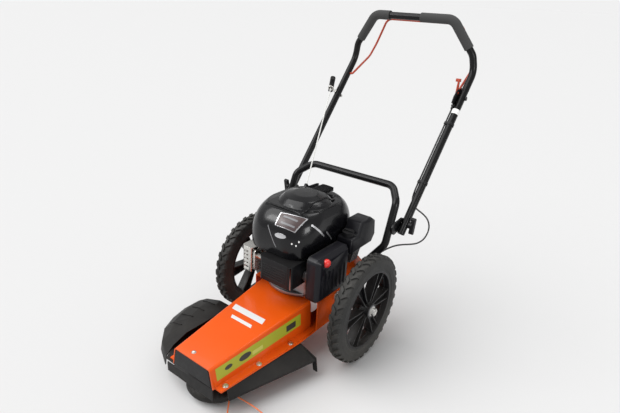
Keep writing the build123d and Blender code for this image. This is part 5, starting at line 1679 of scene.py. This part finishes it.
# ------------------------------------------------------------------ drive and head
@dataclass
class Drive:
    """Belt, pulleys, idler, spindle and cutting head."""

    spring_wire: float = 0.0007
    spring_turns: int = 26
    spring_steps: int = 14
    spring_hook: float = 0.005
    washer_bore: float = 0.0045
    washer_radius: float = 0.0085
    washer_thickness: float = 0.0011
    flange: float = 0.003
    inner_screws: float = 0.06
    head_ribs: int = 12

    def build(self) -> None:
        """Dresses what turns under the covers."""
        for node, finish, body, bevel in (
            ("v_belt", SOFT_RUBBER, "chassis", 0.0), ("idler_arm", ZINC, "idler", 0.0006),
            ("idler_pulley", BLACK_PLASTIC, "idler_wheel", 0.0006),
            ("spindle_shaft", BARE_STEEL, "spindle", 0.0005), ("head_pulley", ZINC, "spindle", 0.0006),
            ("line_head", GUARD_PLASTIC, "spindle", 0.0015), ("ground_bowl", BLACK_ENAMEL, "bowl", 0.0008),
            ("axle", ZINC, "chassis", 0.0004), ("screws", ZINC, "chassis", 0.0004),
            ("handle_bolts", ZINC, "chassis", 0.0004),
        ):
            placed(refined(node, bevel=bevel), finish, body, node)
        self._spring()
        self._washers()
        self._head_ribs()

    def _spring(self) -> None:
        """Winds the idler's coil spring, which stretches from the cable's end to the arm."""
        low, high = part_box("idler_spring")
        level = (low.z + high.z) / 2
        coil = (high.z - low.z) / 2 - self.spring_wire
        start = Vector((high.x - self.spring_hook, high.y, level))
        end = Vector((low.x + self.spring_hook, low.y, level))
        count = self.spring_turns * self.spring_steps
        line = []
        for k in range(count + 1):
            angle = 2 * math.pi * k / self.spring_steps
            line.append(start.lerp(end, k / count) + Vector((math.cos(angle), 0, math.sin(angle))) * coil)
        spring = tube("idler_spring_coil", line, self.spring_wire, 6)
        blended(spring, ZINC, ("chassis", "idler"), "idler_spring")

    def _washers(self) -> None:
        """Lays flat washers under the belt cover's flange screws."""
        low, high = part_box("belt_cover")
        top = low.z + self.flange
        section = [(self.washer_bore, 0.0), (self.washer_radius, 0.0),
                   (self.washer_radius, self.washer_thickness), (self.washer_bore, self.washer_thickness)]
        ring = lathe("cover_washers", section, (0, 0, 0), "Z", 32, closed=True)
        places = []
        for first, last in islands("screws"):
            middle = (first + last) / 2
            through = first.z < top < last.z
            if through and low.y < middle.y < high.y and abs(middle.x) > self.inner_screws:
                places.append((middle.x, middle.y, top))
        washers = repeated(ring, Repeat.POINTS, ZINC, points=places)
        placed(washers, ZINC, "chassis", dressed=True)

    def _head_ribs(self) -> None:
        """Radial ribs on top of the cutting head."""
        low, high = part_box("line_head")
        centre = (low + high) / 2
        radius = (high.x - low.x) / 2
        rib = rounded_box("head_ribs", (centre.x + radius * 0.45, centre.y - 0.002, high.z - 0.012),
                          (centre.x + radius * 0.8, centre.y + 0.002, high.z - 0.001), 0.0012)
        turn = (0, 0, 2 * math.pi / self.head_ribs)
        ribs = repeated(rib, Repeat.RING, GUARD_PLASTIC, self.head_ribs, centre, turn)
        placed(ribs, GUARD_PLASTIC, "spindle", dressed=True)


# ------------------------------------------------------------------ handle
@dataclass
class Handle:
    """Both tubes, grips, controls, knobs, bail and starter grip."""

    band: float = 0.018
    band_inner: float = 0.0126
    band_outer: float = 0.0132
    band_place: Point = (0.2446, 0.3899, 0.724)
    tube_direction: Point = (0.0079, 0.6396, 0.7687)

    def build(self) -> None:
        """Builds every piece of the handle."""
        for node, finish, body, bevel in (
            ("lower_handle", BLACK_ENAMEL, "chassis", 0.0004), ("upper_handle", BLACK_ENAMEL, "handle", 0.0),
            ("grip_left", FOAM, "handle", 0.0012), ("grip_right", FOAM, "handle", 0.0012),
            ("control_bracket", BLACK_PLASTIC, "handle", 0.0006), ("cable_upper", SOFT_RUBBER, "handle", 0.0),
            ("cable_clips", BLACK_PLASTIC, "handle", 0.0004), ("rope_guide", ZINC, "handle", 0.0),
            ("bail", RED_WIRE, "bail", 0.0), ("control_lever", RED_WIRE, "lever", 0.0006),
            ("starter_grip", BLACK_PLASTIC, "starter", 0.001),
            ("wing_knob_left", BLACK_PLASTIC, "knob_left", 0.001),
            ("wing_knob_right", BLACK_PLASTIC, "knob_right", 0.001),
        ):
            placed(refined(node, bevel=bevel), finish, body, node)
        self._band()

    def _band(self) -> None:
        """Wraps a blank white band round the right tube below the controls."""
        section = [(self.band_inner, 0.0), (self.band_outer, 0.0),
                   (self.band_outer, self.band), (self.band_inner, self.band)]
        ring = turned_ring("tube_label", section, Vector(self.band_place), Vector(self.tube_direction))
        placed(ring, WHITE_LABEL, "handle")


def main() -> None:
    """Builds the whole scene in order."""
    logging.basicConfig(level=logging.INFO, format="%(message)s")
    View().build()
    Cords().build()
    Studio().build()
    for side in ("left", "right"):
        Wheel(side).build()
    Housing().build()
    Drive().build()
    Engine().build()
    Handle().build()


if __name__ == "__main__":
    main()
